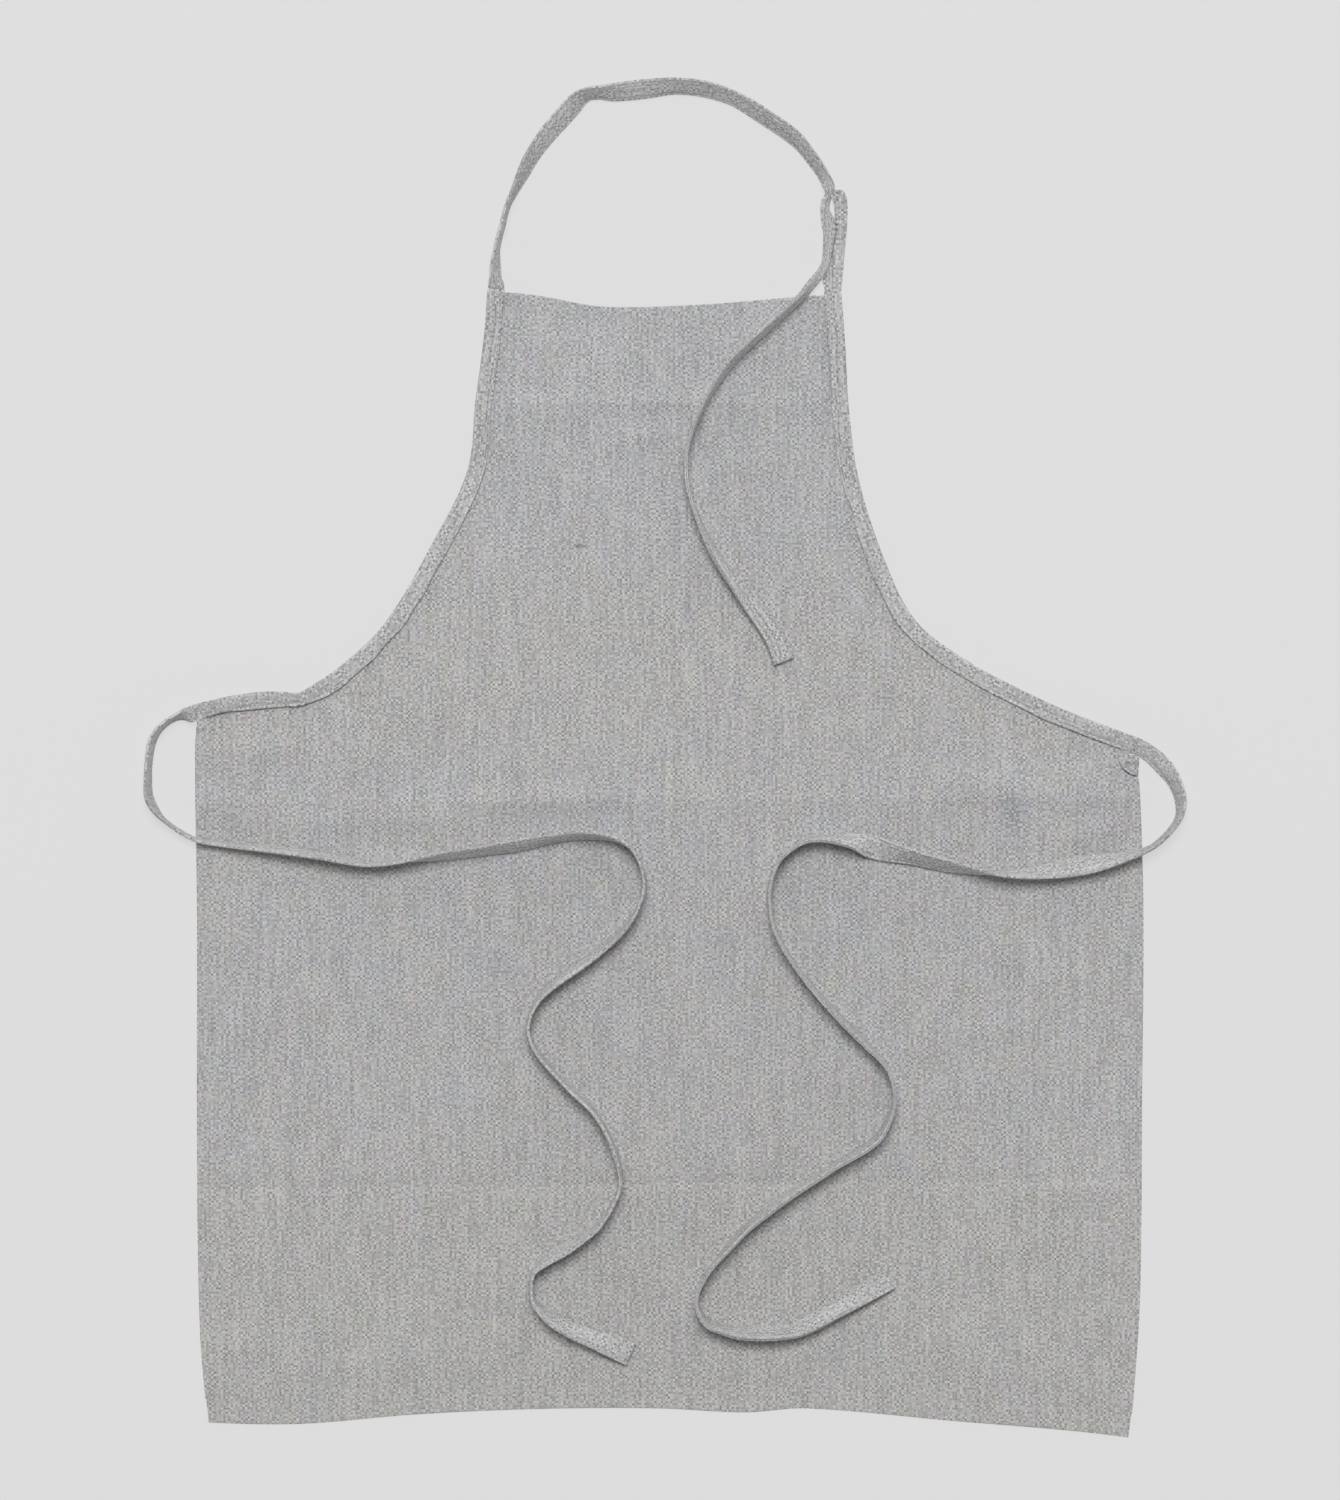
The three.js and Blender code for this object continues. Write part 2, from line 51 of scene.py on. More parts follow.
# %% [markdown]
# ## Camera
# The apron is seen from straight above. A short lens close to the cloth would show
# the sides of the tapes near the border, so a long lens hangs high over the middle.
# One pixel of the 1340 by 1500 image covers 0.741 mm of the floor.

# %% Camera
PIXEL = 0.741 * MM
LONG_SIDE = 1500
VIEW_CENTRE = (4.1 * MM, 5.9 * MM)
CAMERA_HEIGHT = 4.0
SENSOR = 36.0
bpy.ops.object.camera_add(location=(*VIEW_CENTRE, CAMERA_HEIGHT), rotation=(0, 0, 0))
camera = bpy.context.object
camera.name = "overhead_camera"
camera.data.sensor_width = SENSOR
camera.data.lens = SENSOR * CAMERA_HEIGHT / (LONG_SIDE * PIXEL)
bpy.context.scene.camera = camera
print("lens, mm:", round(camera.data.lens, 1))

# %% [markdown]
# ## Lines on the cloth
# Every edge and every tape follows a smooth line through a few listed points. A Bezier
# curve object could carry the points, but the tapes also need a lean, a width and a
# height at each point, so one helper runs a smooth curve through whole rows of numbers.
# All tables are in millimetres.

# %% Smooth lines through rows of numbers
def length_so_far(points):
    """Length along a line of points, at each of them."""
    return np.concatenate([[0], np.cumsum(np.linalg.norm(np.diff(points, axis=0), axis=1))])


def smooth_line(rows, step):
    """Rows about every step along a smooth curve through the given rows."""
    rows = np.array(rows, float)
    keys = length_so_far(rows[:, :2])
    gaps = np.diff(keys)[:, None]
    slopes = np.empty_like(rows)
    slopes[1:-1] = (rows[2:] - rows[:-2]) / (keys[2:] - keys[:-2])[:, None]
    slopes[0] = 1.5 * (rows[1] - rows[0]) / gaps[0] - 0.5 * slopes[1]
    slopes[-1] = 1.5 * (rows[-1] - rows[-2]) / gaps[-1] - 0.5 * slopes[-2]
    places = np.linspace(0, keys[-1], int(round(keys[-1] / step)) + 1)
    i = np.clip(np.searchsorted(keys, places, "right") - 1, 0, len(gaps) - 1)
    t = (places - keys[i])[:, None] / gaps[i]
    return ((1 + 2 * t) * (1 - t) ** 2 * rows[i] + t * (1 - t) ** 2 * gaps[i] * slopes[i]
            + t * t * (3 - 2 * t) * rows[i + 1] - t * t * (1 - t) * gaps[i] * slopes[i + 1])


def unit(vectors):
    """The same directions at length 1."""
    return vectors / np.linalg.norm(vectors, axis=1)[:, None]


def directions(line):
    """Unit vectors along a flat line, and to the left of it."""
    along = unit(np.gradient(line[:, :2], axis=0))
    return along, np.stack([-along[:, 1], along[:, 0]], axis=1)


def ease(value, start, end):
    """0 before start, 1 after end, and a soft step between them."""
    share = np.clip((value - start) / (end - start), 0, 1)
    return share * share * (3 - 2 * share)


# %% Edges of the cloth
LEFT_ARMHOLE = [(-350, 39), (-330, 44.2), (-310, 47.8), (-292, 49.4), (-281, 49),
                (-271.5, 48), (-260, 54.5), (-244, 65), (-208, 99), (-172, 159),
                (-146, 213), (-140, 265), (-134, 310), (-131, 347.5)]
RIGHT_ARMHOLE = [(351, 15), (316, 28), (280, 43), (223, 73), (186, 102),
                 (163, 147), (144, 206), (137, 255), (134, 305), (131, 346)]
LEFT_SIDE = [(-338, -492), (-344, -420), (-346, -280), (-346, -120),
             (-347.5, 8), (-346.3, 24), (-346.5, 36)]
RIGHT_SIDE = [(344, -503), (347, -476), (352, -400), (353.5, -260), (354.5, -110),
              (351.5, -20), (348.5, -7), (344.5, 1), (347, 10)]
BOTTOM_EDGE = [(-338, -492), (-270, -493), (-184, -486), (-95, -482), (-6, -481.5),
               (60, -484.5), (105, -481.5), (216, -491), (300, -498), (344, -503)]
BIB_TOP = [(-129, 346), (-92, 342), (-50, 334.5), (-10, 334), (41, 336.5),
           (77, 339.5), (129, 344)]
EDGE_STEP = 4
SEAM_DEPTH = 1.7  # the raw edge of the cloth lies this far inside a binding's fold


def seam_edge(armhole, cloth_side):
    """Raw edge of the cloth inside a binding; cloth_side is 1 to the left of the armhole."""
    line = smooth_line(armhole, EDGE_STEP)
    inner = line + cloth_side * SEAM_DEPTH * directions(line)[1]
    return inner[2:-1]  # the ends are left to the side and to the bib's top


left_edge = np.concatenate([smooth_line(LEFT_SIDE, EDGE_STEP), seam_edge(LEFT_ARMHOLE, -1)])
right_edge = np.concatenate([smooth_line(RIGHT_SIDE, EDGE_STEP), seam_edge(RIGHT_ARMHOLE, 1)])
bottom_edge = smooth_line(BOTTOM_EDGE, EDGE_STEP)
top_edge = smooth_line(BIB_TOP, EDGE_STEP)
outline = np.concatenate([bottom_edge[:-1], right_edge, top_edge[::-1], left_edge[:0:-1]])
print("outline points:", len(outline))

# %% [markdown]
# ## How the cloth lies
# The body is one thin sheet. Its rim is held a little off the floor by the hems and
# the bindings, three pressed creases cross it where it was folded for storage, and
# a few short folds have not smoothed out. A cloth simulation would flatten these
# without knowing where they belong, so a height is worked out for every point.

# %% Distance from the outline
POINTS_AT_ONCE = 3000


def inside_by(x, y):
    """Distance from the outline in mm, negative outside the cloth."""
    points = np.stack([np.ravel(x), np.ravel(y)], axis=1)
    runs = np.roll(outline, -1, axis=0) - outline
    climbs = np.where(runs[:, 1] == 0, 1, runs[:, 1])
    found = []
    for part in np.array_split(points, len(points) // POINTS_AT_ONCE + 1):
        away = part[:, None] - outline
        share = np.clip((away * runs).sum(2) / (runs ** 2).sum(1), 0, 1)
        near = np.linalg.norm(away - share[..., None] * runs, axis=2).min(1)
        level = away[..., 1] / climbs
        crossed = (level >= 0) & (level < 1) & (runs[:, 1] != 0)
        crossed &= away[..., 0] < level * runs[:, 0]
        found.append(np.where(crossed.sum(1) % 2 == 1, near, -near))
    return np.concatenate(found).reshape(np.shape(x))


# %% Creases, folds and ripples
CLOTH = 0.6  # thickness of the body cloth
PLY_GAP = 0.3  # air between two plies that are sewn together
REST = CLOTH / 2
RIM_LIFT = CLOTH + PLY_GAP
# Pressed creases: height on the left, height on the right, rise, spread and kind
CREASES = [(264, 262, 2.4, 9, "ridge"), (-34, -29, 1.8, 13, "ridge"),
           (-318, -312, 2.0, 15, "valley")]
CREASE_ROUND = 1.6
# Short folds: middle x and y, half length, half width, rise and turn in degrees
FOLDS = [(-75, 254, 34, 9, 1.7, -8), (-26, 236, 34, 10, 2.2, 6), (-22, 292, 20, 9, 1.3, 0),
         (-66, 190, 26, 5, 0.8, 88), (-316, 6, 40, 9, 2.1, 4), (-232, -47, 86, 11, 2.1, 2),
         (-90, -30, 60, 9, 1, 3), (244, -20, 46, 11, 2.1, -4), (318, -55, 26, 9, 1.6, 8),
         (240, -202, 34, 9, 2.1, 2), (210, -246, 18, 7, 1.7, 48), (308, -318, 48, 9, 2.1, 8),
         (264, -444, 18, 7, 1.8, 50), (-324, -438, 26, 9, 2, 6), (222, 66, 50, 9, 2.1, -32)]
# Broad ripples: rise, waves per metre across and along the cloth, start
RIPPLES = [(0.45, 5.2, 2.1, 0.4), (0.40, -3.4, 6.1, 1.9), (0.22, 9.5, 4.0, 4.2)]
HALF_WIDTH = 350  # a crease goes from its left to its right height over twice this
BIB_FROM = 100  # the bib lies above this height
# Ways in from the rim over which the cloth settles, comes loose, or starts a crease or a fold
SETTLED, LOOSENED = (30, 110), (14, 44)
CREASE_START, FOLD_START = (14, 30), (4, 20)
BINDING_WIDTH = 12.5
ROLL = 4.4  # the outer fold of a binding stands up this far at the left waist
# Where a bound edge turns up: stretch across, least height or stretch up, share of the roll
LEFT_TURN, LEFT_WAIST = (215, 320), 20
RIGHT_TURN, RIGHT_WAIST, RIGHT_ROLL = (235, 345), -4, 0.7
NECK_TURN, NECK_RISE, NECK_ROLL = (104, 114), (312, 347), 1.15


def binding_roll(x, y, way_in):
    """Rise of a bound edge where it becomes a tape, at a way in from its outer fold."""
    left = ease(-x, *LEFT_TURN) * (y > LEFT_WAIST)
    right = RIGHT_ROLL * ease(x, *RIGHT_TURN) * (y > RIGHT_WAIST)
    neck = NECK_ROLL * ease(-x, *NECK_TURN) * ease(y, *NECK_RISE)
    return ROLL * (np.where(x < 0, left, right) + neck) * np.clip(1 - way_in / BINDING_WIDTH, 0, 1)


def cloth_middle(x, y):
    """Height of the middle of the cloth's thickness over the floor, in mm."""
    depth = inside_by(x, y)
    loose = ease(depth, *LOOSENED)
    height = REST + RIM_LIFT * (1 - ease(depth, *SETTLED)) + binding_roll(x, y, depth + SEAM_DEPTH)
    for rise, across, up, start in RIPPLES:
        wave = np.sin(2 * np.pi * (across * x + up * y) * MM + start)
        height = height + loose * rise * (1 + wave)
    for left, right, rise, spread, kind in CREASES:
        off = y - (left + (right - left) * (x + HALF_WIDTH) / (2 * HALF_WIDTH))
        soft = (np.sqrt(off ** 2 + CREASE_ROUND ** 2) - CREASE_ROUND) / spread
        shape = np.exp(-soft) if kind == "ridge" else (1 - np.exp(-2 * soft)) * np.exp(-0.6 * soft)
        height = height + np.where(y > BIB_FROM, ease(depth, *CREASE_START), 1) * rise * shape
    for mid_x, mid_y, half_long, half_wide, rise, turn in FOLDS:
        c, s = math.cos(math.radians(turn)), math.sin(math.radians(turn))
        run = ((x - mid_x) * c + (y - mid_y) * s) / half_long
        off = ((y - mid_y) * c - (x - mid_x) * s) / half_wide
        height = height + ease(depth, *FOLD_START) * rise * np.exp(-run ** 4) * np.exp(-off ** 2)
    return height


LAY_GAP = 0.15  # air under a tape that lies on the cloth
EDGE_REACH = 1  # a tape this close to the cloth still lies on it


def lying_height(x, y):
    """Where a tape comes to rest: on the cloth, or on the floor beside it."""
    return np.where(inside_by(x, y) > -EDGE_REACH, cloth_middle(x, y) + REST + LAY_GAP, 0)


sample_y = np.array([262.0, -31, -200])
print("cloth rises, mm:", np.round(cloth_middle(0 * sample_y, sample_y), 2))

# %% [markdown]
# ## Making a mesh from points
# Loose cloth is written straight into a mesh, because its points are worked out and
# not pulled about by hand. The operators then do what they do best: they turn the
# faces outwards, give a single sheet its thickness and shade it smooth.

# %% Helpers for sheets and tapes
def new_piece(name, points, faces, uv):
    """A mesh object from points in mm, with a flat pattern position for each point."""
    mesh = bpy.data.meshes.new(name)
    mesh.from_pydata((np.reshape(points, (-1, 3)) * MM).tolist(), [], faces)
    corners = np.empty(len(mesh.loops), int)
    mesh.loops.foreach_get("vertex_index", corners)
    layer = mesh.uv_layers.new(name="cloth_pattern")
    layer.data.foreach_set("uv", (np.reshape(uv, (-1, 2)) * MM)[corners].ravel())
    piece = bpy.data.objects.new(name, mesh)
    bpy.context.collection.objects.link(piece)
    return piece


def edit(piece, operator, **settings):
    """Run an operator in Edit mode on all of one piece, with nothing else selected."""
    bpy.ops.object.select_all(action="DESELECT")
    piece.select_set(True)
    bpy.context.view_layer.objects.active = piece
    bpy.ops.object.mode_set(mode="EDIT")
    bpy.ops.mesh.select_all(action="SELECT")
    operator(**settings)
    bpy.ops.object.mode_set(mode="OBJECT")


def apply_modifier(piece, kind, **settings):
    modifier = piece.modifiers.new(kind.lower(), kind)
    for name, value in settings.items():
        setattr(modifier, name, value)
    bpy.context.view_layer.objects.active = piece
    bpy.ops.object.modifier_apply(modifier=modifier.name)


def face_outwards(piece):
    edit(piece, bpy.ops.mesh.normals_make_consistent, inside=False)
    bpy.ops.object.shade_smooth()


def give_thickness(piece, thickness):
    """Turn a single sheet into cloth with two sides, evenly about the sheet."""
    edit(piece, bpy.ops.mesh.normals_make_consistent, inside=False)
    apply_modifier(piece, "SOLIDIFY", thickness=thickness * MM, offset=0, use_rim=True)
    face_outwards(piece)
    print(piece.name, "faces:", len(piece.data.polygons))


def grid_faces(rows, columns, ring=False):
    """Four-sided faces of a grid; in a ring the last column joins the first."""
    last = columns if ring else columns - 1
    return [(r * columns + c, r * columns + (c + 1) % columns,
             (r + 1) * columns + (c + 1) % columns, (r + 1) * columns + c)
            for r in range(rows - 1) for c in range(last)]


# %% [markdown]
# ## Ties and neck strap
# Each tape is a strip of the same cloth, folded lengthwise and sewn shut along one
# edge, so it is two to three millimetres thick and stiff enough to stand on its edge
# in loose curves. A curve object with a bevel could not lean or change its width, so one
# section is swept along a table of rows instead. The section has a round fold on one
# edge, and on the other a groove under the stitches and two lips with a slit between.

# %% Section of a folded tape
TAPE_WIDTH = 17.5
TAPE_THICK = 2.6
STITCH_AT = 0.335  # the seam's place across the tape, as a share of its width
GROOVE = 0.27  # the tape's half thickness under the seam, as a share of its thickness
FACE_SHAPE = [(-0.485, 0.28), (-0.455, 0.44), (-0.43, 0.46), (-0.40, 0.30), (-0.365, 0.47),
              (-0.25, 0.50), (-0.05, 0.45), (0.15, 0.48), (0.255, 0.50), (0.295, 0.48),
              (STITCH_AT, GROOVE), (0.375, 0.47), (0.44, 0.49), (0.485, 0.42), (0.5, 0.20)]
FOLD_POINT, SLIT_BOTTOM = (-0.5, 0.0), (0.44, 0.0)
BACK_FACE = [(share, -depth) for share, depth in FACE_SHAPE[::-1]]
SECTION = np.array([FOLD_POINT, *FACE_SHAPE, SLIT_BOTTOM, *BACK_FACE])
SLIT_POINT = len(FACE_SHAPE) + 1
from_slit = np.roll(SECTION * (TAPE_WIDTH, TAPE_THICK), -SLIT_POINT, axis=0)
AROUND = np.roll(length_so_far(from_slit), SLIT_POINT)  # way round the section from the slit
TAPE_STEP = 2.0
rng = np.random.default_rng(7)


def slow_wave(count, spacing, size):
    """Smooth seeded wandering about zero, with a new turn every so many stations."""
    turns = rng.uniform(-size, size, count // spacing + 4)
    rows = np.column_stack([np.arange(len(turns)), np.zeros(len(turns)), turns])
    return smooth_line(rows, 1 / spacing)[:count, 2]


print("section points:", len(SECTION), "way round, mm:", round(AROUND.max(), 1))

# %% Lay a tape along its rows
GATHERED, FLAT = 6, 12  # a tape is bunched at the first width and flat from the second on
NARROW, FULL = 10, 15  # its lean starts to wander at the first width
LEAN_TURN, PUCKER_TURN, BOW_TURN = 9, 3, 14  # stations from one turn of a wander to the next
PUCKER, BOW = 0.22, 0.35
PUCKER_SPREAD = 0.13
START_RUN = 12  # puckers and bow grow over this length
BRIDGE = 3  # a tape lies on the highest place within this many stations
SOFTEN = 5  # stations over which its height is evened out


def lay_tape(rows, seam_side, free):
    """Stations along a tape: place, directions, size and length so far."""
    line = smooth_line(rows, TAPE_STEP)
    x, y, lean, wide, thick, lift = line.T
    left = directions(line)[1]
    loose = np.clip((wide - NARROW) / (FULL - NARROW), 0, 1)
    lean = np.radians(lean + loose * slow_wave(len(line), LEAN_TURN, free))
    reach = 0.5 * (wide * abs(np.cos(lean)) + thick * abs(np.sin(lean)))
    under = np.max([lying_height(x + side * reach * left[:, 0], y + side * reach * left[:, 1])
                    for side in (-1, -0.5, 0, 0.5, 1)], axis=0)
    wide_under = np.pad(under, BRIDGE, mode="edge")
    under = np.max([wide_under[i:i + len(under)] for i in range(2 * BRIDGE + 1)], axis=0)
    under = np.pad(under, SOFTEN // 2, mode="edge")
    under = np.convolve(under, np.full(SOFTEN, 1 / SOFTEN), "valid")
    z = under + np.maximum(lift, 0) + 0.5 * (wide * abs(np.sin(lean)) + thick * abs(np.cos(lean)))
    up = np.array([0, 0, 1.0])
    left3 = np.column_stack([left, np.zeros(len(line))])
    across = left3 * np.cos(lean)[:, None] + up * np.sin(lean)[:, None]
    face = -left3 * np.sin(lean)[:, None] + up * np.cos(lean)[:, None]
    length = length_so_far(line[:, :2])
    gather = np.clip((FLAT - wide) / (FLAT - GATHERED), 0, 1)
    slack = (1 - gather) * np.minimum(1, length / START_RUN)
    return {"at": np.column_stack([x, y, z]), "across": across * seam_side, "face": face,
            "wide": wide, "thick": thick, "length": length, "gather": gather,
            "pucker": slack * slow_wave(len(line), PUCKER_TURN, PUCKER),
            "bow": slack * slow_wave(len(line), BOW_TURN, BOW)}


def sway(tape, share):
    """Shift of a tape out of its plane at a share of its width, from puckers and a bow."""
    return (tape["pucker"][:, None] * np.exp(-((share - STITCH_AT) / PUCKER_SPREAD) ** 2)
            + tape["bow"][:, None] * (1 - 4 * share ** 2))


def on_tape(tape, share, out):
    """Points at shares of a tape's width, and out from the middle of its thickness."""
    aside = share * tape["wide"][:, None]
    return (tape["at"][:, None] + aside[..., None] * tape["across"][:, None]
            + out[..., None] * tape["face"][:, None])


# %% Sweep the section
END_SEAM = 7.0  # the turned end is sewn across this far from its edge
# How much the end and its seam are pressed flat, and over which length
END_PRESS, END_RUN = 0.45, 1.2
SEAM_PRESS, SEAM_RUN = 0.22, 1.3
PLEATS, PLEAT_DEPTH = 3, 0.45


def sweep_tape(name, tape):
    """Closed mesh of a tape, with puckers along its seam and a flat turned end."""
    count, ring = len(tape["wide"]), len(SECTION)
    share, depth = SECTION[:, 0], SECTION[:, 1]
    to_end = tape["length"][-1] - tape["length"]
    press = (1 - END_PRESS * np.exp(-(to_end / END_RUN) ** 2)
             - SEAM_PRESS * np.exp(-((to_end - END_SEAM) / SEAM_RUN) ** 2))
    pleats = 0.5 - 0.5 * np.cos(2 * np.pi * PLEATS * (share + 0.5))
    pleated = 1 - PLEAT_DEPTH * tape["gather"][:, None] * pleats
    out = depth * pleated * (tape["thick"] * press)[:, None] + sway(tape, share)
    faces = grid_faces(count, ring, ring=True)
    for start in (0, (count - 1) * ring):
        slit = start + SLIT_POINT
        faces += [(start, start + 1, start + ring - 1), (slit - 1, slit, slit + 1)]
        faces += [(start + k, start + k + 1, start + ring - k - 1, start + ring - k)
                  for k in range(1, SLIT_POINT - 1)]
    pattern = np.stack(np.broadcast_arrays(tape["length"][:, None], AROUND), axis=2)
    piece = new_piece(name, on_tape(tape, share, out), faces, pattern)
    face_outwards(piece)
    print(name, "length, mm:", round(tape["length"][-1]), "faces:", len(faces))
    return piece


# %% Start of a tape at the end of a binding
BINDING_THICK = 2.5
BINDING_RUN = 2.5
SEAM_GAP = 0.05


def tape_rows(armhole, cloth_side, end, table, lean=0):
    """Rows that run straight out of a binding at its lean, and then those of the table."""
    line = smooth_line(armhole, EDGE_STEP)
    along, left = directions(line)
    out = along[end] * (1 if end else -1)
    start = line[end] + cloth_side * left[end] * BINDING_WIDTH / 2
    size = (lean, BINDING_WIDTH, BINDING_THICK, 0)
    straight = [(*(start + out * (SEAM_GAP + share * BINDING_RUN)), *size) for share in (0, 0.5, 1)]
    plain = (0, 0, 0, TAPE_WIDTH, TAPE_THICK, 0)
    return straight + [row + plain[len(row):] for row in table]


# %% Left tie
# Rows: x, y and lean, then width, thickness and lift where they are not the plain ones
LEFT_TIE = [
    (-353.5, 32.5, -40, 12.5), (-357.5, 31.3, -66, 12.5), (-362, 29.8, -78, 13),
    (-368.5, 26, -84, 15), (-374.9, 19.7, -84), (-379, 11.7, -81),
    (-380.9, 1.5, -80), (-382, -15, -79), (-380.6, -31, -79), (-370.6, -45.5, -86, 14),
    (-348, -60, -82, 9), (-324, -64, -76, 10), (-300, -66.3, -72, 13), (-255, -72, -73),
    (-214, -77.6, -77), (-166, -72.8, -110), (-114, -65.3, -115), (-62, -57.2, -105),
    (-27, -64.8, -92), (-14.6, -94, -90), (-27, -123, -97), (-51.5, -145.5, -104),
    (-91, -175.7, -100), (-101, -202, -91), (-86.8, -226.7, -82),
    (-48, -268, -83), (-32.3, -313, -90), (-48, -344.5, -100), (-68, -359.6, -112),
    (-87.6, -371.6, -108), (-97, -380.2, -98), (-98.2, -391.5, -90), (-96.6, -401, -86),
    (-90.5, -407.8, -72), (-83.5, -414.6, -63), (-72, -421, -54), (-53.4, -428.6, -33),
    (-24.7, -441.7, -8)]
left_tie_lay = lay_tape(tape_rows(LEFT_ARMHOLE, -1, 0, LEFT_TIE, lean=-22), 1, free=4)
left_tie = sweep_tape("left_tie_tape", left_tie_lay)

# %% Right tie
RIGHT_TIE = [
    (361, 2, 15, 13), (370, -7, 36, 15), (377, -17, 59), (381.7, -31, 73), (380, -45, 85),
    (367, -61, 88), (354, -69, 84, 15), (323, -77, 49), (286, -83.5, 52), (254, -85.7, 76),
    (226, -83, 108), (174, -71, 137), (156, -66.5, 180), (138.4, -61.5, 235), (107.6, -60.5, 262),
    (86.7, -73.8, 268), (78.5, -92, 269), (77.6, -112, 270), (83.3, -131.3, 274),
    (101.6, -160.6, 277), (127, -189.5, 281), (150.4, -212.9, 280), (164.9, -229.9, 277),
    (170, -248, 270), (167.3, -263.7, 263), (155.5, -283, 257), (122.3, -304, 258),
    (66.5, -342.6, 257), (37.2, -373.6, 265), (27.2, -389, 268), (23.8, -402, 272),
    (27, -411.5, 277), (32.3, -418, 282), (42, -421.8, 286), (56.8, -425.4, 291),
    (86.7, -424.6, 301), (101.3, -420.7, 307), (130.8, -405.1, 326, 16.5), (167, -385.7, 350, 15.5)]
right_tie_lay = lay_tape(tape_rows(RIGHT_ARMHOLE, 1, 0, RIGHT_TIE, lean=14), -1, free=4)
right_tie = sweep_tape("right_tie_tape", right_tie_lay)

# %% Neck strap
NECK_STRAP = [
    (-125.2, 355, 50, 12.5), (-125.2, 362.7, 58, 12.5), (-124.9, 369, 70, 13.5),
    (-124.2, 375.7, 82, 15), (-122.7, 383.5, 82, 16.5), (-120.2, 392, 84), (-116.8, 406, 84),
    (-111.8, 417.5, 80), (-106.2, 429, 71), (-97.5, 446, 57), (-86, 462, 51), (-76.2, 473.2, 48),
    (-67.5, 483, 47), (-62, 488.3, 58), (-56, 491.2, 67), (-47.8, 492.2, 67), (-41, 492.2, 58),
    (-36, 492.6, 51), (-14, 495, 44), (8, 497, 54), (30, 494.8, 58), (52, 487.5, 62),
    (74.5, 474, 55), (97, 458, 59), (109.5, 443, 64), (118.4, 430, 50, 11),
    (122.2, 420.5, 0, 8, 2.4, 4.7), (121.2, 414, 0, 4.6, 2.6, 0.4), (120.2, 407, 0, 4, 3.2, 0.9),
    (121, 402, 0, 5.8, 3.4, 1.8), (122.3, 397.5, 0, 7.4, 3.6, 2.4), (122.4, 391, -2, 8.8, 3.8, 2.4),
    (121.6, 384, -4, 8.2, 4, 2.2), (120.4, 373, -10, 6.6, 3.8, 2.2), (119, 365.5, -18, 6, 3.4, 2.4),
    (115.2, 358, -34, 7, 3, 3.6), (109, 350.5, -56, 10, 2.6, 3.2), (100.3, 340, -74, 15),
    (73.2, 314.8, -76), (46.8, 289, -76), (28, 259, -81), (17, 228.2, -87), (16.6, 209, -90),
    (19.4, 192.6, -86, 16), (25.9, 174.6, -79, 16), (35.6, 154.2, -67, 15.5), (47, 137, -56, 15),
    (61.6, 117.1, -37, 15), (73.6, 101, -22, 15), (81.8, 88, -14, 15), (86.8, 75.2, -9, 15, 2.6),
    (88.3, 71.2, -8, 15.4, 3.8)]
strap_lay = lay_tape(tape_rows(LEFT_ARMHOLE, -1, -1, NECK_STRAP, lean=24), -1, free=3)
neck_strap = sweep_tape("neck_strap_tape", strap_lay)

# %% [markdown]
# ## Keeper
# The keeper is the short end of the right binding, with a slit near its tip that the
# strap passes through. A boolean would leave a ragged cut, so the keeper is a small
# grid that is split along the slit's line. Its two lips are moved apart in the shape
# of an eye, the rest of the split is merged again, and the sheet then gets thickness.

# %% Outline and slit of the keeper
STRAP_KEEPER = [(124.4, 353, 0, 14.4, 2.0), (125.3, 362, 0, 14.4, 2.0), (126, 371, 0, 14, 2.0),
                (126.2, 384, 0, 16, 2.0, 0.2), (125.6, 398, 0, 19.2, 2.0, 1.6),
                (125.4, 408, 0, 20.2, 2.0, 2.6), (126, 415, 0, 17.5, 2.0, 2.8),
                (127, 420.5, 0, 10, 2.0, 2.8)]
SLIT_X, SLIT_Y, SLIT_HALF_WIDTH, SLIT_HALF_LENGTH = 122.2, 403, 3.8, 14
EYE_SHAPE = 0.8  # power that rounds the slit's outline
KEEPER_STEP = 1.3
LIP_SHARES = np.linspace(0, 1, 13)
keeper_line = smooth_line(tape_rows(RIGHT_ARMHOLE, 1, -1, STRAP_KEEPER), KEEPER_STEP)
keeper_x, keeper_y, _, keeper_wide, keeper_thick, keeper_lift = keeper_line.T
slit_share = np.clip(1 - ((keeper_y - SLIT_Y) / SLIT_HALF_LENGTH) ** 2, 0, 1) ** EYE_SHAPE
halves = []
for side in (-1, 1):
    rim = keeper_x + side * keeper_wide / 2
    lip = SLIT_X + side * SLIT_HALF_WIDTH * slit_share
    halves.append(rim[:, None] + (lip - rim)[:, None] * LIP_SHARES[::-side])
keeper_columns = np.concatenate(halves, axis=1)
print("keeper grid:", keeper_columns.shape)

# %% Swelling beside the strap
# Rows: y, and the x of the strap's right edge where it lies on the keeper
STRAP_SIDE = [(357, 119.4), (365.5, 122.5), (373, 124.2), (384, 126.2), (391, 127.3), (398, 126.6)]
SWELL = 2.2  # the keeper rises this far beside the strap
SWELL_STEP = 1.1
SWELL_START, SWELL_END = (354, 366), (395, 406)  # heights over which it grows and ends
SWELL_FALL, FALL_SHARE = (3, 9), 0.7  # ways from the strap over which most of it is lost
keeper_height = (np.maximum(keeper_lift, 0) + keeper_thick / 2)[:, None] + 0 * keeper_columns
beside = keeper_columns - np.interp(keeper_y, *np.array(STRAP_SIDE).T)[:, None]
swelling = SWELL * ease(keeper_y, *SWELL_START) * (1 - ease(keeper_y, *SWELL_END))
keeper_height += (swelling[:, None] * ease(beside, 0, SWELL_STEP)
                  * (1 - FALL_SHARE * ease(beside, *SWELL_FALL)))
print("keeper rises to, mm:", round(keeper_height.max(), 2))

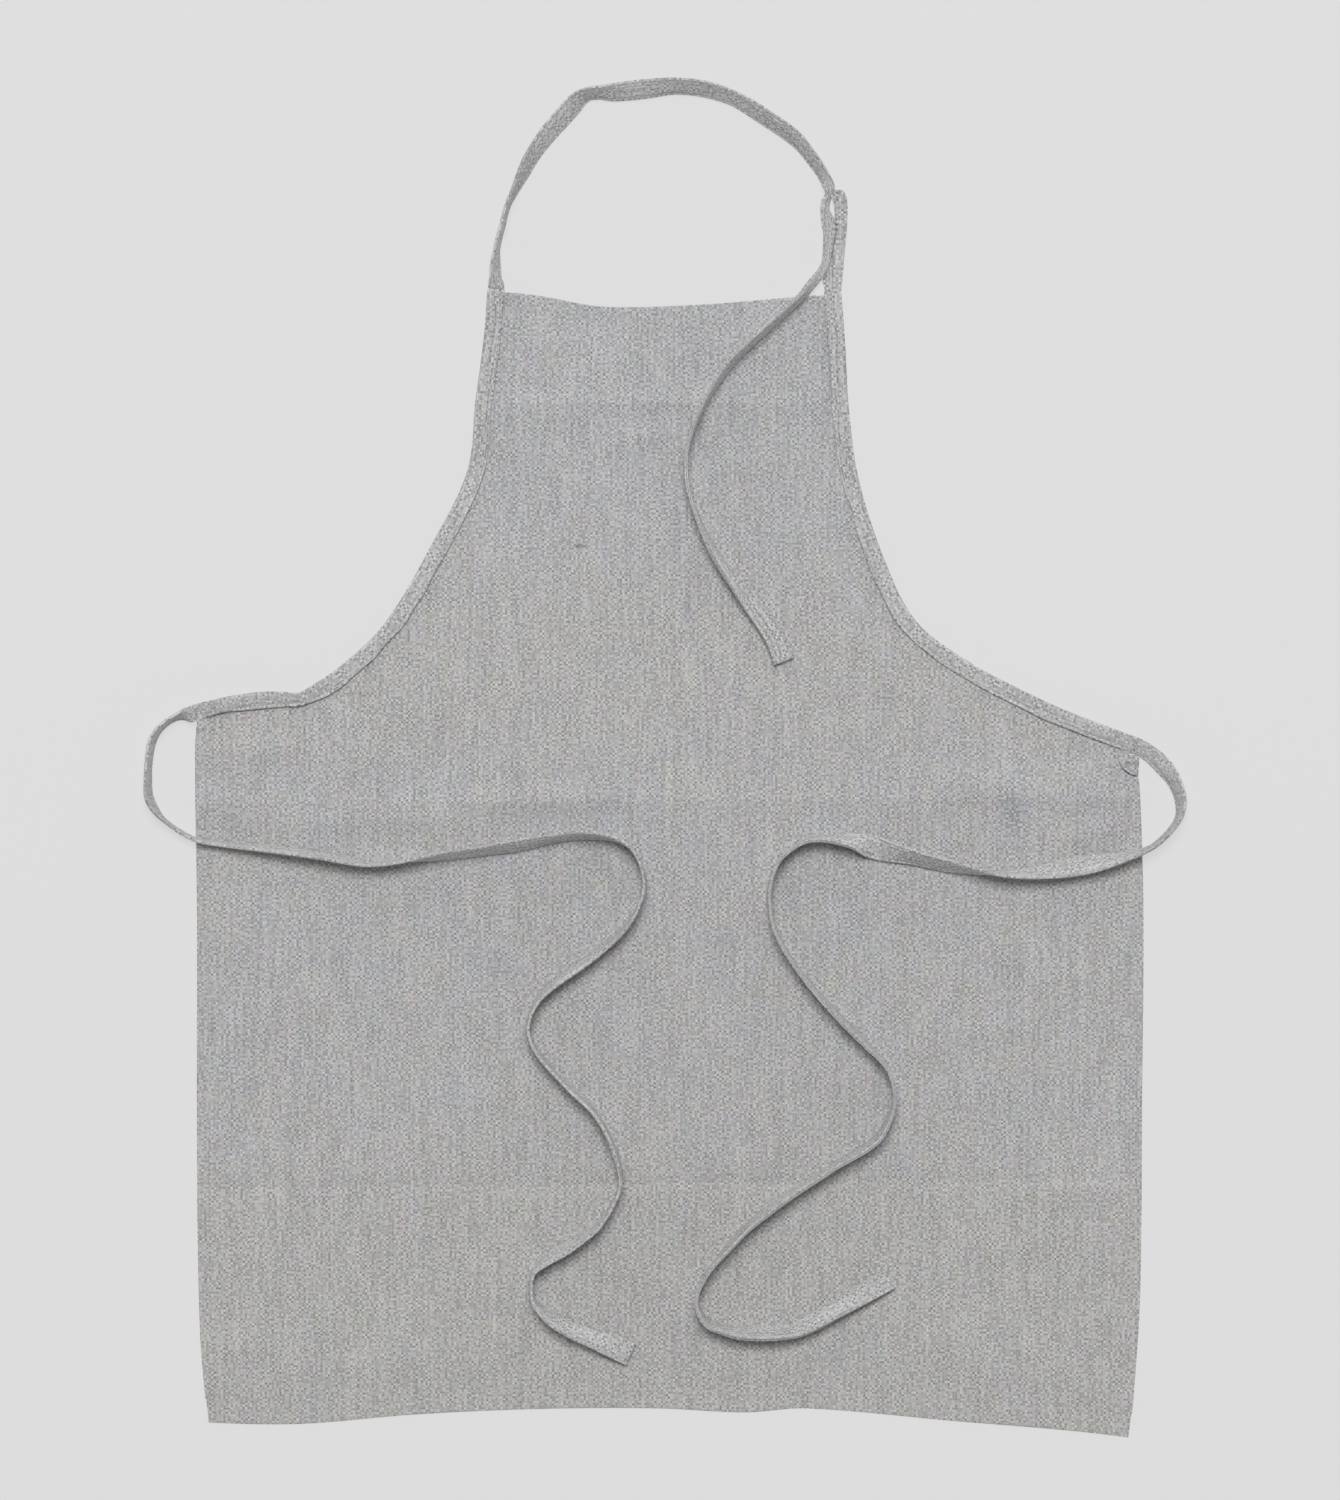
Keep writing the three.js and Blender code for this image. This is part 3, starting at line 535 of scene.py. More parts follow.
# %% Keeper with its slit
KEEPER_THICK = 1.7
LIP_BEVEL = 0.5
MERGE_WITHIN = 0.02
PATTERN_SHIFT = (30, 7)  # the keeper is cut from another place of the cloth
keeper_points = np.stack([keeper_columns, keeper_y[:, None] + 0 * keeper_columns, keeper_height], axis=2)
columns_across = 2 * len(LIP_SHARES)
keeper_faces = [f for i, f in enumerate(grid_faces(len(keeper_line), columns_across))
                if i % (columns_across - 1) != len(LIP_SHARES) - 1]
keeper_pattern = keeper_points[..., 1::-1] + PATTERN_SHIFT
strap_keeper = new_piece("strap_keeper_tape", keeper_points, keeper_faces, keeper_pattern)
edit(strap_keeper, bpy.ops.mesh.remove_doubles, threshold=MERGE_WITHIN * MM)
give_thickness(strap_keeper, KEEPER_THICK)
apply_modifier(strap_keeper, "BEVEL", width=LIP_BEVEL * MM, segments=2, limit_method="ANGLE")
face_outwards(strap_keeper)

# %% [markdown]
# ## Armhole bindings
# A strip of cloth is folded round each raw armhole edge and sewn through all plies.
# On the front its own raw edge is turned under, which gives the thick inner edge that
# throws a dark line. It is made as a single sheet in that folded shape, swept along
# the armhole, and then given the thickness of one ply.

# %% Folded shape of a binding
BINDING_PLY = 0.42
BINDING_STEP = 2.0
BACK_HEIGHT = 0.30
BACK_IN, BACK_SHARES = 0.2, (0.7, 0.4)  # the back's inner edge, then shares of the width
FOLD_SHAPE = [(1.2, BACK_HEIGHT), (0.55, 0.45), (0.25, 0.85), (0.21, 1.30), (0.25, 1.75),
              (0.6, 2.12), (1.3, 2.28)]
# The front goes by shares of the width, and the turned edge by the way from the inner edge
FRONT_SHAPE = [(0.15, 2.46), (0.26, 2.30), (0.36, 2.54), (0.50, 2.42), (0.62, 2.64)]
TURNED_SHAPE = [(-3.4, 2.66), (-2.8, 2.54), (-2.3, 2.34), (-1.8, 2.66), (-1.2, 3.20),
                (-0.6, 3.36), (-0.1, 3.10), (-0.3, 2.60), (-1.6, 2.24), (-4, 1.95)]
WIDTH_TURN, WIDTH_WANDER = 7, 0.45  # stations from turn to turn, and size
CRUMPLE_TURN, CRUMPLE = 4, 0.3
FRONT_PUCKER = 0.5
PINCH_PUCKER, PINCH_RISE = 0.25, 0.5


def sew_binding(name, armhole, cloth_side, pinches):
    """Binding along an armhole; pinches are places where it is drawn narrow."""
    line = smooth_line(armhole, BINDING_STEP)
    inward = cloth_side * directions(line)[1]
    count = len(line)
    wide = BINDING_WIDTH + slow_wave(count, WIDTH_TURN, WIDTH_WANDER)
    squeeze = np.zeros(count)
    for x, y, half_long, narrower in pinches:
        near = np.exp(-(np.hypot(line[:, 0] - x, line[:, 1] - y) / half_long) ** 2)
        wide = wide - narrower * near
        squeeze += near
    pucker = abs(slow_wave(count, CRUMPLE_TURN, CRUMPLE)) + PINCH_PUCKER * squeeze
    shape = [(wide - BACK_IN, BACK_HEIGHT)]
    shape += [(wide * k, BACK_HEIGHT) for k in BACK_SHARES] + FOLD_SHAPE
    shape += [(wide * k, z + pucker * FRONT_PUCKER * k + PINCH_RISE * squeeze) for k, z in FRONT_SHAPE]
    shape += [(wide + n, z + pucker) for n, z in TURNED_SHAPE]
    reach, height = (np.stack(np.broadcast_arrays(*values), axis=1) for values in zip(*shape))
    flat = line[:, None] + reach[..., None] * inward[:, None]
    height = height + binding_roll(line[:, :1], line[:, 1:], reach)
    length = length_so_far(line)
    points = np.concatenate([flat, height[..., None]], axis=2)
    steps = np.hypot(np.diff(reach, axis=1, prepend=0), np.diff(height, axis=1, prepend=0))
    pattern = np.stack(np.broadcast_arrays(length[:, None], np.cumsum(steps, axis=1)), axis=2)
    piece = new_piece(name, points, grid_faces(count, len(shape)), pattern)
    give_thickness(piece, BINDING_PLY)
    return piece, {"line": line, "inward": inward, "wide": wide, "pucker": pucker, "length": length}


# %% Both bindings
# Pinches: x, y, half length and how much narrower
LEFT_PINCHES = [(-271.5, 48, 10, 2.6), (-330, 44, 14, 1.5), (-214, 92, 12, 1.5)]
RIGHT_PINCHES = [(150, 186, 10, 2.0), (200, 90, 14, 1.0)]
left_binding, left_seam = sew_binding("left_binding_tape", LEFT_ARMHOLE, -1, LEFT_PINCHES)
right_binding, right_seam = sew_binding("right_binding_tape", RIGHT_ARMHOLE, 1, RIGHT_PINCHES)
print("binding lengths, mm:", round(left_seam["length"][-1]), round(right_seam["length"][-1]))

# %% [markdown]
# ## Body cloth
# The body is cut in one piece, with hems at the sides, the bottom and the bib's top.
# The sheet is a grid that fills the outline, and its margins go on round the fold and
# come back underneath as hems. Rows and columns are closer where a crease, a fold or
# a hem's seam needs them. The whole sheet then gets the thickness of the cloth.

# %% Spacing of the grid
def spaced(start, end, step, fine_spots):
    """Places from start to end, closer together within the fine spots."""
    places = [start]
    while places[-1] < end:
        near = [fine for middle, half, fine in fine_spots if abs(places[-1] - middle) < half]
        places.append(places[-1] + min([step, *near]))
    places = np.array(places)
    return start + (places - start) * (end - start) / (places[-1] - start)


FOLD_DEPTH = CLOTH + PLY_GAP
FOLD_TURN = [(0.13, 0.86), (0.0, 0.5), (0.13, 0.14)]  # way in from the edge and share of the drop
FOLD_IN = 0.45
SIDE_HEM, BOTTOM_HEM, TOP_HEM = 8.5, 15, 12
SKIRT_WIDTH = 690
LOW, HIGH = -490, 345  # even rows run between these heights
GRID_STEP = 5.2
# Finer places: middle, half width and step
FINE_SIDES = [(0, 14, 1.1), (SKIRT_WIDTH, 14, 1.1)]
FINE_LEVELS = [(LOW, 20, 1.4), (HIGH, 16, 1.4), (-31, 16, 1.6), (262, 16, 1.6),
               (-315, 14, 2.0), (35, 26, 1.8)]
main_shares = spaced(FOLD_IN, SKIRT_WIDTH - FOLD_IN, GRID_STEP, FINE_SIDES) / SKIRT_WIDTH
main_heights = spaced(LOW + FOLD_IN, HIGH - FOLD_IN, GRID_STEP, FINE_LEVELS)
print("grid:", len(main_heights), "rows,", len(main_shares), "columns")

# %% Rows and columns with their folded margins
def margin(hem):
    """Folded margin from the hem's inner edge to the fold: way in and drop."""
    flat = [(hem, FOLD_DEPTH), (hem / 2, FOLD_DEPTH), (FOLD_IN, FOLD_DEPTH)]
    return flat + [(way, share * FOLD_DEPTH) for way, share in FOLD_TURN]


def with_margins(places, start, start_hem, end, end_hem):
    """Place, shift and drop of all rows or columns, with a margin at either end."""
    lines = [(start, way, drop) for way, drop in margin(start_hem)]
    lines += [(place, 0.0, 0.0) for place in places]
    lines += [(end, -way, drop) for way, drop in margin(end_hem)[::-1]]
    return np.array(lines).T


share, aside, side_drop = with_margins(main_shares, 0, SIDE_HEM, 1, SIDE_HEM)[:, None]
level, upward, end_drop = with_margins(main_heights, LOW, BOTTOM_HEM, HIGH, TOP_HEM)[..., None]
print("with margins:", level.size, "rows,", share.size, "columns")

# %% Fit the grid to the outline
at_bottom = np.interp(left_edge[0, 0] + share * (right_edge[0, 0] - left_edge[0, 0]), *bottom_edge.T)
at_top = np.interp(left_edge[-1, 0] + share * (right_edge[-1, 0] - left_edge[-1, 0]), *top_edge.T)
BOTTOM_EASE, TOP_EASE = (LOW + 30, LOW + 150), (HIGH - 110, HIGH - 25)  # level between these
grid_y = (level + (at_bottom - LOW) * (1 - ease(level, *BOTTOM_EASE))
          + (at_top - HIGH) * ease(level, *TOP_EASE))
left_x = np.interp(grid_y[:, :1], left_edge[:, 1], left_edge[:, 0])
right_x = np.interp(grid_y[:, -1:], right_edge[:, 1], right_edge[:, 0])
grid_x = left_x + share * (right_x - left_x) + aside
grid_y = grid_y + upward
grid_z = cloth_middle(grid_x, grid_y) - side_drop - end_drop
print("cloth spans, mm:", round(np.ptp(grid_x)), "by", round(np.ptp(grid_y)))

# %% Dents along the hem seams
HEM_SEAM_IN = 1.2  # a hem's seam lies this far inside its inner edge
HEM_DENT = 0.22
DENT_WIDE = 1.3
DENT_PITCH = 6.4
HEM_TOPS = (22, -9)  # the side hems end here, left and right
TOP_HEM_REACH = 112


def dent(way, hem, along):
    """Shallow groove under a seam, deeper at every stitch."""
    pull = 0.7 + 0.3 * np.cos(2 * np.pi * along / DENT_PITCH)
    return HEM_DENT * pull * np.exp(-((way - (hem - HEM_SEAM_IN)) / DENT_WIDE) ** 2)


from_left = grid_x - left_x
from_right = right_x - grid_x
from_bottom = grid_y - at_bottom
from_top = at_top - grid_y
grid_z -= dent(from_left, SIDE_HEM, grid_y) * (grid_y < HEM_TOPS[0]) * (side_drop == 0)
grid_z -= dent(from_right, SIDE_HEM, grid_y) * (grid_y < HEM_TOPS[1]) * (side_drop == 0)
grid_z -= dent(from_bottom, BOTTOM_HEM, grid_x) * (end_drop == 0)
grid_z -= dent(from_top, TOP_HEM, grid_x) * (abs(grid_x) < TOP_HEM_REACH) * (end_drop == 0)

# %% Build the body sheet
HEM_CLEAR = 1  # the side hems start this far above the bottom hem
hem_rows = len(margin(BOTTOM_HEM))
hem_columns = len(margin(SIDE_HEM))
row_count, column_count = grid_z.shape


def belongs(r, c):
    """True for a face of the sheet: the middle, or a margin where there is a hem."""
    plain_row = hem_rows <= r < row_count - hem_rows - 1
    plain_column = hem_columns <= c < column_count - hem_columns - 1
    if plain_row and plain_column:
        return True
    if plain_column:
        return r < hem_rows or abs(grid_x[r, c]) < TOP_HEM_REACH
    hem_top = HEM_TOPS[0] if c < hem_columns else HEM_TOPS[1]
    return plain_row and from_bottom[r, c] > BOTTOM_HEM + HEM_CLEAR and grid_y[r, c] < hem_top


body_faces = [f for i, f in enumerate(grid_faces(row_count, column_count))
              if belongs(i // (column_count - 1), i % (column_count - 1))]
body_points = np.stack([grid_x, grid_y, grid_z], axis=2)
body = new_piece("body_cloth", body_points, body_faces, body_points[..., :2])
edit(body, bpy.ops.mesh.delete_loose, use_faces=False)
give_thickness(body, CLOTH)

# %% [markdown]
# ## Corner tuck
# At the right waist corner the end of the side hem has slipped out and stands up as a
# small rounded flap. It is a fan of a few faces, thickened and smoothed.

# %% Corner tuck
TUCK_CORNER = (351.5, 2.0)
TUCK_REACH = 15.5
TUCK_RISE = 2.4
TUCK_GAP = 0.25
TUCK_FROM, TUCK_SWEEP = 176, 92  # degrees
TUCK_TURNS = np.linspace(0, 1, 14)
TUCK_RINGS = np.linspace(0.12, 1, 8)[:, None]
tuck_angle = np.radians(TUCK_FROM + TUCK_SWEEP * TUCK_TURNS)
tuck_x = TUCK_CORNER[0] + TUCK_REACH * TUCK_RINGS * np.cos(tuck_angle)
tuck_y = TUCK_CORNER[1] + TUCK_REACH * TUCK_RINGS * np.sin(tuck_angle)
tuck_z = (cloth_middle(tuck_x, tuck_y) + CLOTH + TUCK_GAP
          + TUCK_RISE * TUCK_RINGS ** 2 * np.sin(np.pi * TUCK_TURNS) ** 0.7)
tuck_points = np.stack([tuck_x, tuck_y, tuck_z], axis=2)
tuck_faces = grid_faces(len(TUCK_RINGS), len(TUCK_TURNS))
corner_tuck = new_piece("corner_tuck", tuck_points, tuck_faces, tuck_points[..., :2])
give_thickness(corner_tuck, CLOTH)
apply_modifier(corner_tuck, "SUBSURF", levels=1, render_levels=1)

# %% [markdown]
# ## Stitches
# The seams are sewn with a pale thread that shows as short raised stitches. One stitch
# is a small ball with few faces, stretched into a grain of thread and flattened. Its
# mesh is then repeated along every seam, so that a seam is one piece.

# %% One stitch
STITCH_LONG, STITCH_WIDE, STITCH_HIGH = 2.5, 0.6, 0.42
STITCH_PITCH = 3.2
bpy.ops.mesh.primitive_uv_sphere_add(segments=6, ring_count=4, radius=0.5, location=(0, 0, 0))
stitch = bpy.context.object
edit(stitch, bpy.ops.transform.rotate, value=math.pi / 2, orient_axis="Y", center_override=(0, 0, 0))
edit(stitch, bpy.ops.transform.resize, value=(STITCH_LONG, STITCH_WIDE, STITCH_HIGH))
stitch_points = np.array([v.co for v in stitch.data.vertices])
stitch_faces = sorted(tuple(p.vertices) for p in stitch.data.polygons)
bpy.data.objects.remove(stitch)
print("one stitch has", len(stitch_faces), "faces")

# %% Lay stitches along a seam
def read_along(at, length, rows):
    """Rows at the given lengths along a line."""
    return np.stack([np.interp(at, length, column) for column in rows.T], axis=1)


def sew(name, seams):
    """One piece with the stitches of several seams: places, length and way up."""
    points, faces = [], []
    for places, length, ups in seams:
        at = np.arange(STITCH_PITCH / 2, length[-1], STITCH_PITCH)
        middle = read_along(at, length, places)
        along = unit(read_along(at + 0.5, length, places) - read_along(at - 0.5, length, places))
        side = unit(np.cross(read_along(at, length, ups), along))
        up = np.cross(along, side)
        for m, a, s, u in zip(middle, along, side, up):
            start = len(points) * len(stitch_points)
            points.append(m + stitch_points @ np.stack([a, s, u]))
            faces += [tuple(start + v for v in f) for f in stitch_faces]
    points = np.reshape(points, (-1, 3))
    piece = new_piece(name, points, faces, points[:, :2])
    face_outwards(piece)
    print(name, "stitches:", len(points) // len(stitch_points))
    return piece


def facing_up(places):
    """A seam on top of the cloth: its places, length and way up."""
    return places, length_so_far(places), np.repeat([[0.0, 0.0, 1.0]], len(places), axis=0)


# %% Seams of the bindings
BINDING_SEAM_IN = 2.3  # way in from a binding's inner edge
BINDING_SEAM_HEIGHT = 2.62


def binding_seam(seam):
    flat = seam["line"] + (seam["wide"] - BINDING_SEAM_IN)[:, None] * seam["inward"]
    roll = binding_roll(*seam["line"].T, seam["wide"] - BINDING_SEAM_IN)
    return facing_up(np.column_stack([flat, BINDING_SEAM_HEIGHT + seam["pucker"] + roll]))


left_binding_stitches = sew("left_binding_stitches", [binding_seam(left_seam)])
right_binding_stitches = sew("right_binding_stitches", [binding_seam(right_seam)])

# %% Seams of the hems
SEAM_STEP = 1.5
HEM_THREAD_LIFT = 0.16
SEAM_START, SEAM_STOP = 4, 3  # a seam keeps this far from the ends of its hem
SIDE_POINTS, BOTTOM_POINTS, TOP_POINTS = 40, 60, 30


def hem_seam(x, y):
    """A seam on the front of the cloth through flat points."""
    line = smooth_line(np.column_stack([x, y]), SEAM_STEP)
    height = cloth_middle(line[:, 0], line[:, 1]) + REST - HEM_DENT + HEM_THREAD_LIFT
    return facing_up(np.column_stack([line, height]))


def side_seam(edge, way_in, top):
    y = np.linspace(edge[0, 1] + SEAM_START, top - SEAM_STOP, SIDE_POINTS)
    return hem_seam(np.interp(y, edge[:, 1], edge[:, 0]) + way_in, y)


side_in = SIDE_HEM - HEM_SEAM_IN
bottom_x = np.linspace(left_edge[0, 0] + SEAM_START, right_edge[0, 0] - SEAM_START, BOTTOM_POINTS)
top_x = np.linspace(-TOP_HEM_REACH, TOP_HEM_REACH, TOP_POINTS)
hem_stitches = sew("hem_stitches", [
    side_seam(left_edge, side_in, HEM_TOPS[0]), side_seam(right_edge, -side_in, HEM_TOPS[1]),
    hem_seam(bottom_x, np.interp(bottom_x, *bottom_edge.T) + BOTTOM_HEM - HEM_SEAM_IN),
    hem_seam(top_x, np.interp(top_x, *top_edge.T) - TOP_HEM + HEM_SEAM_IN)])

# %% Seams of the tapes
THREAD_LIFT = 0.12
SEWN_BELOW, LEAST_STATIONS = 0.15, 4  # a tape is sewn where it is hardly gathered
END_SHARES = np.linspace(-0.44, 0.44, 9)
END_GROOVE, END_LIFT = 0.39, 0.1


def tape_seam(tape, side):
    """The seam on one face of a tape."""
    share = np.array([STITCH_AT])
    out = side * (GROOVE * tape["thick"] + THREAD_LIFT)[:, None] + sway(tape, share)
    return on_tape(tape, share, out)[:, 0], tape["length"], side * tape["face"]


def seam_parts(tape):
    """Both faces of every stretch of a tape that is not gathered."""
    flat = tape["gather"] < SEWN_BELOW
    cuts = np.flatnonzero(np.diff(flat.astype(int))) + 1
    parts = []
    for stretch in np.split(np.arange(len(flat)), cuts):
        if flat[stretch[0]] and len(stretch) > LEAST_STATIONS:
            part = {k: v[stretch] for k, v in tape.items()}
            part["length"] = part["length"] - part["length"][0]
            parts += [tape_seam(part, 1), tape_seam(part, -1)]
    return parts


def end_seam(tape, side):
    """The seam across a turned end."""
    i = np.searchsorted(tape["length"], tape["length"][-1] - END_SEAM)
    end = {k: v[i:i + 1] for k, v in tape.items()}
    out = side * (END_GROOVE * end["thick"] + END_LIFT) + sway(end, END_SHARES)
    length = (END_SHARES - END_SHARES[0]) * end["wide"]
    ups = np.repeat(side * end["face"], len(END_SHARES), axis=0)
    return on_tape(end, END_SHARES, out)[0], length, ups


left_tie_stitches = sew("left_tie_stitches", [*seam_parts(left_tie_lay), end_seam(left_tie_lay, 1)])
right_tie_stitches = sew("right_tie_stitches", [*seam_parts(right_tie_lay), end_seam(right_tie_lay, -1)])
strap_stitches = sew("neck_strap_stitches", [*seam_parts(strap_lay), end_seam(strap_lay, -1)])

# %% [markdown]
# ## Writing shader sums
# A node tree is easier to read as a sum than as a list of links. One small class wraps
# a node's output: plus, minus and times on it add Math nodes, and a single method adds
# any other kind of node with its settings first and its sockets after.

# %% A socket that can be added up
def fill(node, sockets):
    """Set a node's inputs, or link them where a wire is given."""
    for key, value in dict(sockets).items():
        if isinstance(value, Wire):
            node.id_data.links.new(value.socket, node.inputs[key])
        else:
            node.inputs[key].default_value = value


class Wire:
    """One output of a node; an empty one only knows its tree."""

    def __init__(self, tree, socket=None):
        self.tree = tree
        self.socket = socket

    def add(self, kind, settings=(), sockets=(), output=0):
        node = self.tree.nodes.new("ShaderNode" + kind)
        for name, value in dict(settings).items():
            setattr(node, name, value)
        fill(node, sockets)
        return Wire(self.tree, node.outputs[output])

    def maths(self, operation, first, second):
        return self.add("Math", {"operation": operation}, {0: first, 1: second})

    def __add__(self, other):
        return self.maths("ADD", self, other)

    def __sub__(self, other):
        return self.maths("SUBTRACT", self, other)

    def __rsub__(self, other):
        return self.maths("SUBTRACT", other, self)

    def __mul__(self, other):
        return self.maths("MULTIPLY", self, other)

    __radd__ = __add__
    __rmul__ = __mul__


def new_finish(name):
    """A material with nodes, and its shader."""
    material = bpy.data.materials.new(name)
    material.use_nodes = True
    return material, material.node_tree.nodes["Principled BSDF"]


def mix_colours(factor, first, second):
    return factor.add("Mix", {"data_type": "RGBA"}, {0: factor, 6: first, 7: second}, output=2)


def vector_maths(operation, *values):
    return values[0].add("VectorMath", {"operation": operation}, dict(enumerate(values)))


def one_axis(vector, axis):
    return vector.add("SeparateXYZ", {}, {0: vector}, output=axis)


def grain(place, size, detail=0.0):
    """Noise about zero whose grains have the given size in mm along each axis."""
    moved = place.add("Mapping", {}, {"Vector": place, "Scale": tuple(1 / (s * MM) for s in size)})
    return place.add("TexNoise", {}, {"Vector": moved, "Scale": 1.0, "Detail": detail}) - 0.5


def weave(place, pitch):
    """Light and dark about zero: a rounded spot for every crossing of two threads."""
    across, along = (p * MM for p in pitch)
    bend = place.add("TexNoise", {}, {"Vector": place, "Scale": 0.25 / across, "Detail": 0.0}, output=1)
    bent = vector_maths("MULTIPLY_ADD", bend, (across,) * 3, place)
    counted = vector_maths("MULTIPLY", bent, (1 / across, 1 / along, 0))
    cell = vector_maths("FLOOR", counted)
    within = vector_maths("FRACTION", counted)
    here, *beside = (place.add("TexWhiteNoise", {}, {"Vector": vector_maths("ADD", cell, step)})
                     for step in ((0, 0, 0), (1, 0, 0), (-1, 0, 0), (0, 1, 0), (0, -1, 0)))
    x, y = one_axis(within, 0), one_axis(within, 1)
    mound = 16 * x * (1 - x) * y * (1 - y)  # 1 in the middle of a crossing, 0 at its rim
    return (here - 0.15 * sum(beside) - 0.2) * mound


# %% [markdown]
# ## Heathered cloth
# The cloth is a plain weave of mixed light and dark grey yarns, so close up it is salt
# and pepper, with long streaks along one set of threads. An even wave would flicker at
# this distance, so every crossing gets its own random shade in a slightly bent grid.
# The body reads Object coordinates, and the tapes read their own flat pattern, so that
# the streaks run along each tape.

# %% Cloth materials
PATCH_SIZE, PATCHY = (14.0, 18.0, 14.0), 0.2  # broad lighter and darker places
THREAD_HEIGHT, THREAD_STRENGTH = 0.4 * MM, 0.3


def heathered(name, coordinates, dark, light, pitch, spotty, streak_size, streaky):
    """Woven grey cloth; returns the material, its coordinates and its shade."""
    material, shader = new_finish(name)
    tree = material.node_tree
    place = Wire(tree).add("TexCoord", output=coordinates)
    spots = weave(place, pitch)
    streaks = grain(place, streak_size)
    patches = grain(place, PATCH_SIZE, detail=2.0)
    shade = mix_colours(0.5 + spotty * spots + streaky * streaks + PATCHY * patches, dark, light)
    relief = {"Strength": THREAD_STRENGTH, "Distance": THREAD_HEIGHT, "Height": spots}
    normal = place.add("Bump", {}, relief)
    fill(shader, {"Base Color": shade, "Normal": normal, "Roughness": 0.9, "Specular IOR Level": 0.2})
    print("material", name, "nodes:", len(tree.nodes))
    return material, place, shade


OBJECT, UV = 3, 2  # outputs of the Texture Coordinate node
body_finish, body_place, body_shade = heathered(
    "heathered_body_cloth", OBJECT, (0.23, 0.23, 0.23, 1), (0.69, 0.687, 0.687, 1),
    pitch=(1.8, 1.65), spotty=1.1, streak_size=(1.6, 45, 8), streaky=0.35)
tape_finish, _, _ = heathered(
    "heathered_tape_cloth", UV, (0.235, 0.235, 0.235, 1), (0.705, 0.70, 0.70, 1),
    pitch=(1.8, 1.9), spotty=1.25, streak_size=(60, 1.3, 8), streaky=0.85)

# %% [markdown]
# ## Painted light tint of the panels
# The apron was stored folded, and the panels between its creases get a painted light
# tint: cool like shade on the bib, warm like lamplight at the waist and warmest under
# the lowest crease. The tint follows the height on the cloth through a colour ramp,
# and broad patches break it up.

# %% Painted light tint on the body's panels
LOW_END, HIGH_END = -503, 503
# Painted light colours: cool for shade and warm for lamplight
COOL, WARM = (0.985, 0.99, 1.025, 1), (1.02, 1.0, 0.975, 1)
PINKISH, GREENISH = (1.012, 0.988, 1.012, 1), (0.988, 1.012, 0.988, 1)
# Height on the cloth in mm and the painted light tint there, from 0 for cool shade to 1 for warm light
PAINTED_LIGHT_STOPS = [(-325, 1.0), (-300, 0.6), (-150, 0.45), (-10, 0.4), (40, 0.75), (100, 0.8),
         (180, 0.1), (330, 0.1)]
height_on_cloth = one_axis(body_place, 1)
share_up = body_place.add("MapRange", {}, {0: height_on_cloth, 1: LOW_END * MM, 2: HIGH_END * MM})
painted_light_ramp = body_place.add("ValToRGB", {}, {0: share_up})
stops = painted_light_ramp.socket.node.color_ramp.elements
stops.remove(stops[1])
for stop, (height, tint) in zip([stops[0]] + [stops.new(1) for _ in PAINTED_LIGHT_STOPS[1:]], PAINTED_LIGHT_STOPS):
    stop.position = (height - LOW_END) / (HIGH_END - LOW_END)
    stop.color = (tint, tint, tint, 1)
drift = 2.2 * grain(body_place, (10, 14, 10), detail=1.0) + 1.3 * grain(body_place, (34, 46, 34))
# Painted light: the ramp and its drifting patches mix the cool shade and warm light tints
tint = mix_colours(painted_light_ramp + drift, COOL, WARM)
blush = mix_colours(0.5 + 2.6 * grain(body_place, (13, 17, 13), detail=1.0), PINKISH, GREENISH)
# The cloth's own grain and blush, times the painted light tint
grain_blush_and_painted_light = vector_maths("MULTIPLY", vector_maths("MULTIPLY", body_shade, tint), blush)
print("tint stops:", len(stops))

# %% [markdown]
# ## A slub
# One yarn of the bib has a short thick place that is darker than its neighbours. It
# hardly stands up from the cloth, so it needs no mesh of its own: a small oval of
# shade is multiplied into the colour there.

# %% Slub in the bib
SLUB_X, SLUB_Y = -63, 157
SLUB_LONG, SLUB_THICK = 5.8, 2.1  # half sizes of a thick, dark place in one yarn
SLUB_DARK = 0.6
along_yarn = (one_axis(body_place, 0) - SLUB_X * MM) * (1 / (SLUB_LONG * MM))
beside_yarn = (height_on_cloth - SLUB_Y * MM) * (1 / (SLUB_THICK * MM))
from_slub = along_yarn * along_yarn + beside_yarn * beside_yarn
slub = body_place.add("MapRange", {}, {0: from_slub, 1: 0.1, 2: 1.0, 3: SLUB_DARK, 4: 1.0})
slubbed = vector_maths("MULTIPLY", grain_blush_and_painted_light, slub)
fill(body_finish.node_tree.nodes["Principled BSDF"], {"Base Color": slubbed})
print("body material nodes:", len(body_finish.node_tree.nodes))

# %% [markdown]
# ## Sewing thread
# The thread is a pale, twisted yarn. A stitch is too small to show single fibres, so a
# fine noise between two light greys stands for its twist.

# %% Sewing thread
thread_finish, thread_shader = new_finish("sewing_thread")
thread_place = Wire(thread_finish.node_tree).add("TexCoord", output=OBJECT)
twist = grain(thread_place, (0.5, 0.5, 0.5))
thread_tint = mix_colours(0.5 + 1.5 * twist, (0.50, 0.50, 0.50, 1), (0.66, 0.655, 0.65, 1))
fill(thread_shader, {"Base Color": thread_tint, "Roughness": 0.7})
print("material", thread_finish.name)

# %% [markdown]
# ## Floor and light
# The apron lies on a plain pale surface under soft light from above the neck. One
# wide lamp gives the short shadow on the lower side of each tape and leaves the hem a
# little darker than the bib, and a sky that is bright near the horizon fills in.

# %% Floor
FLOOR_DROP = 0.2 * MM
bpy.ops.mesh.primitive_plane_add(size=12, location=(0, 0, 0))
floor = bpy.context.object
floor.name = "pale_floor"
edit(floor, bpy.ops.transform.translate, value=(0, 0, -FLOOR_DROP))
floor_finish, floor_shader = new_finish("pale_floor_paint")
fill(floor_shader, {"Base Color": (0.14, 0.14, 0.14, 1), "Emission Color": (1, 1, 1, 1),
                    "Emission Strength": 0.60, "Roughness": 0.9, "Specular IOR Level": 0.1})
floor.data.materials.append(floor_finish)

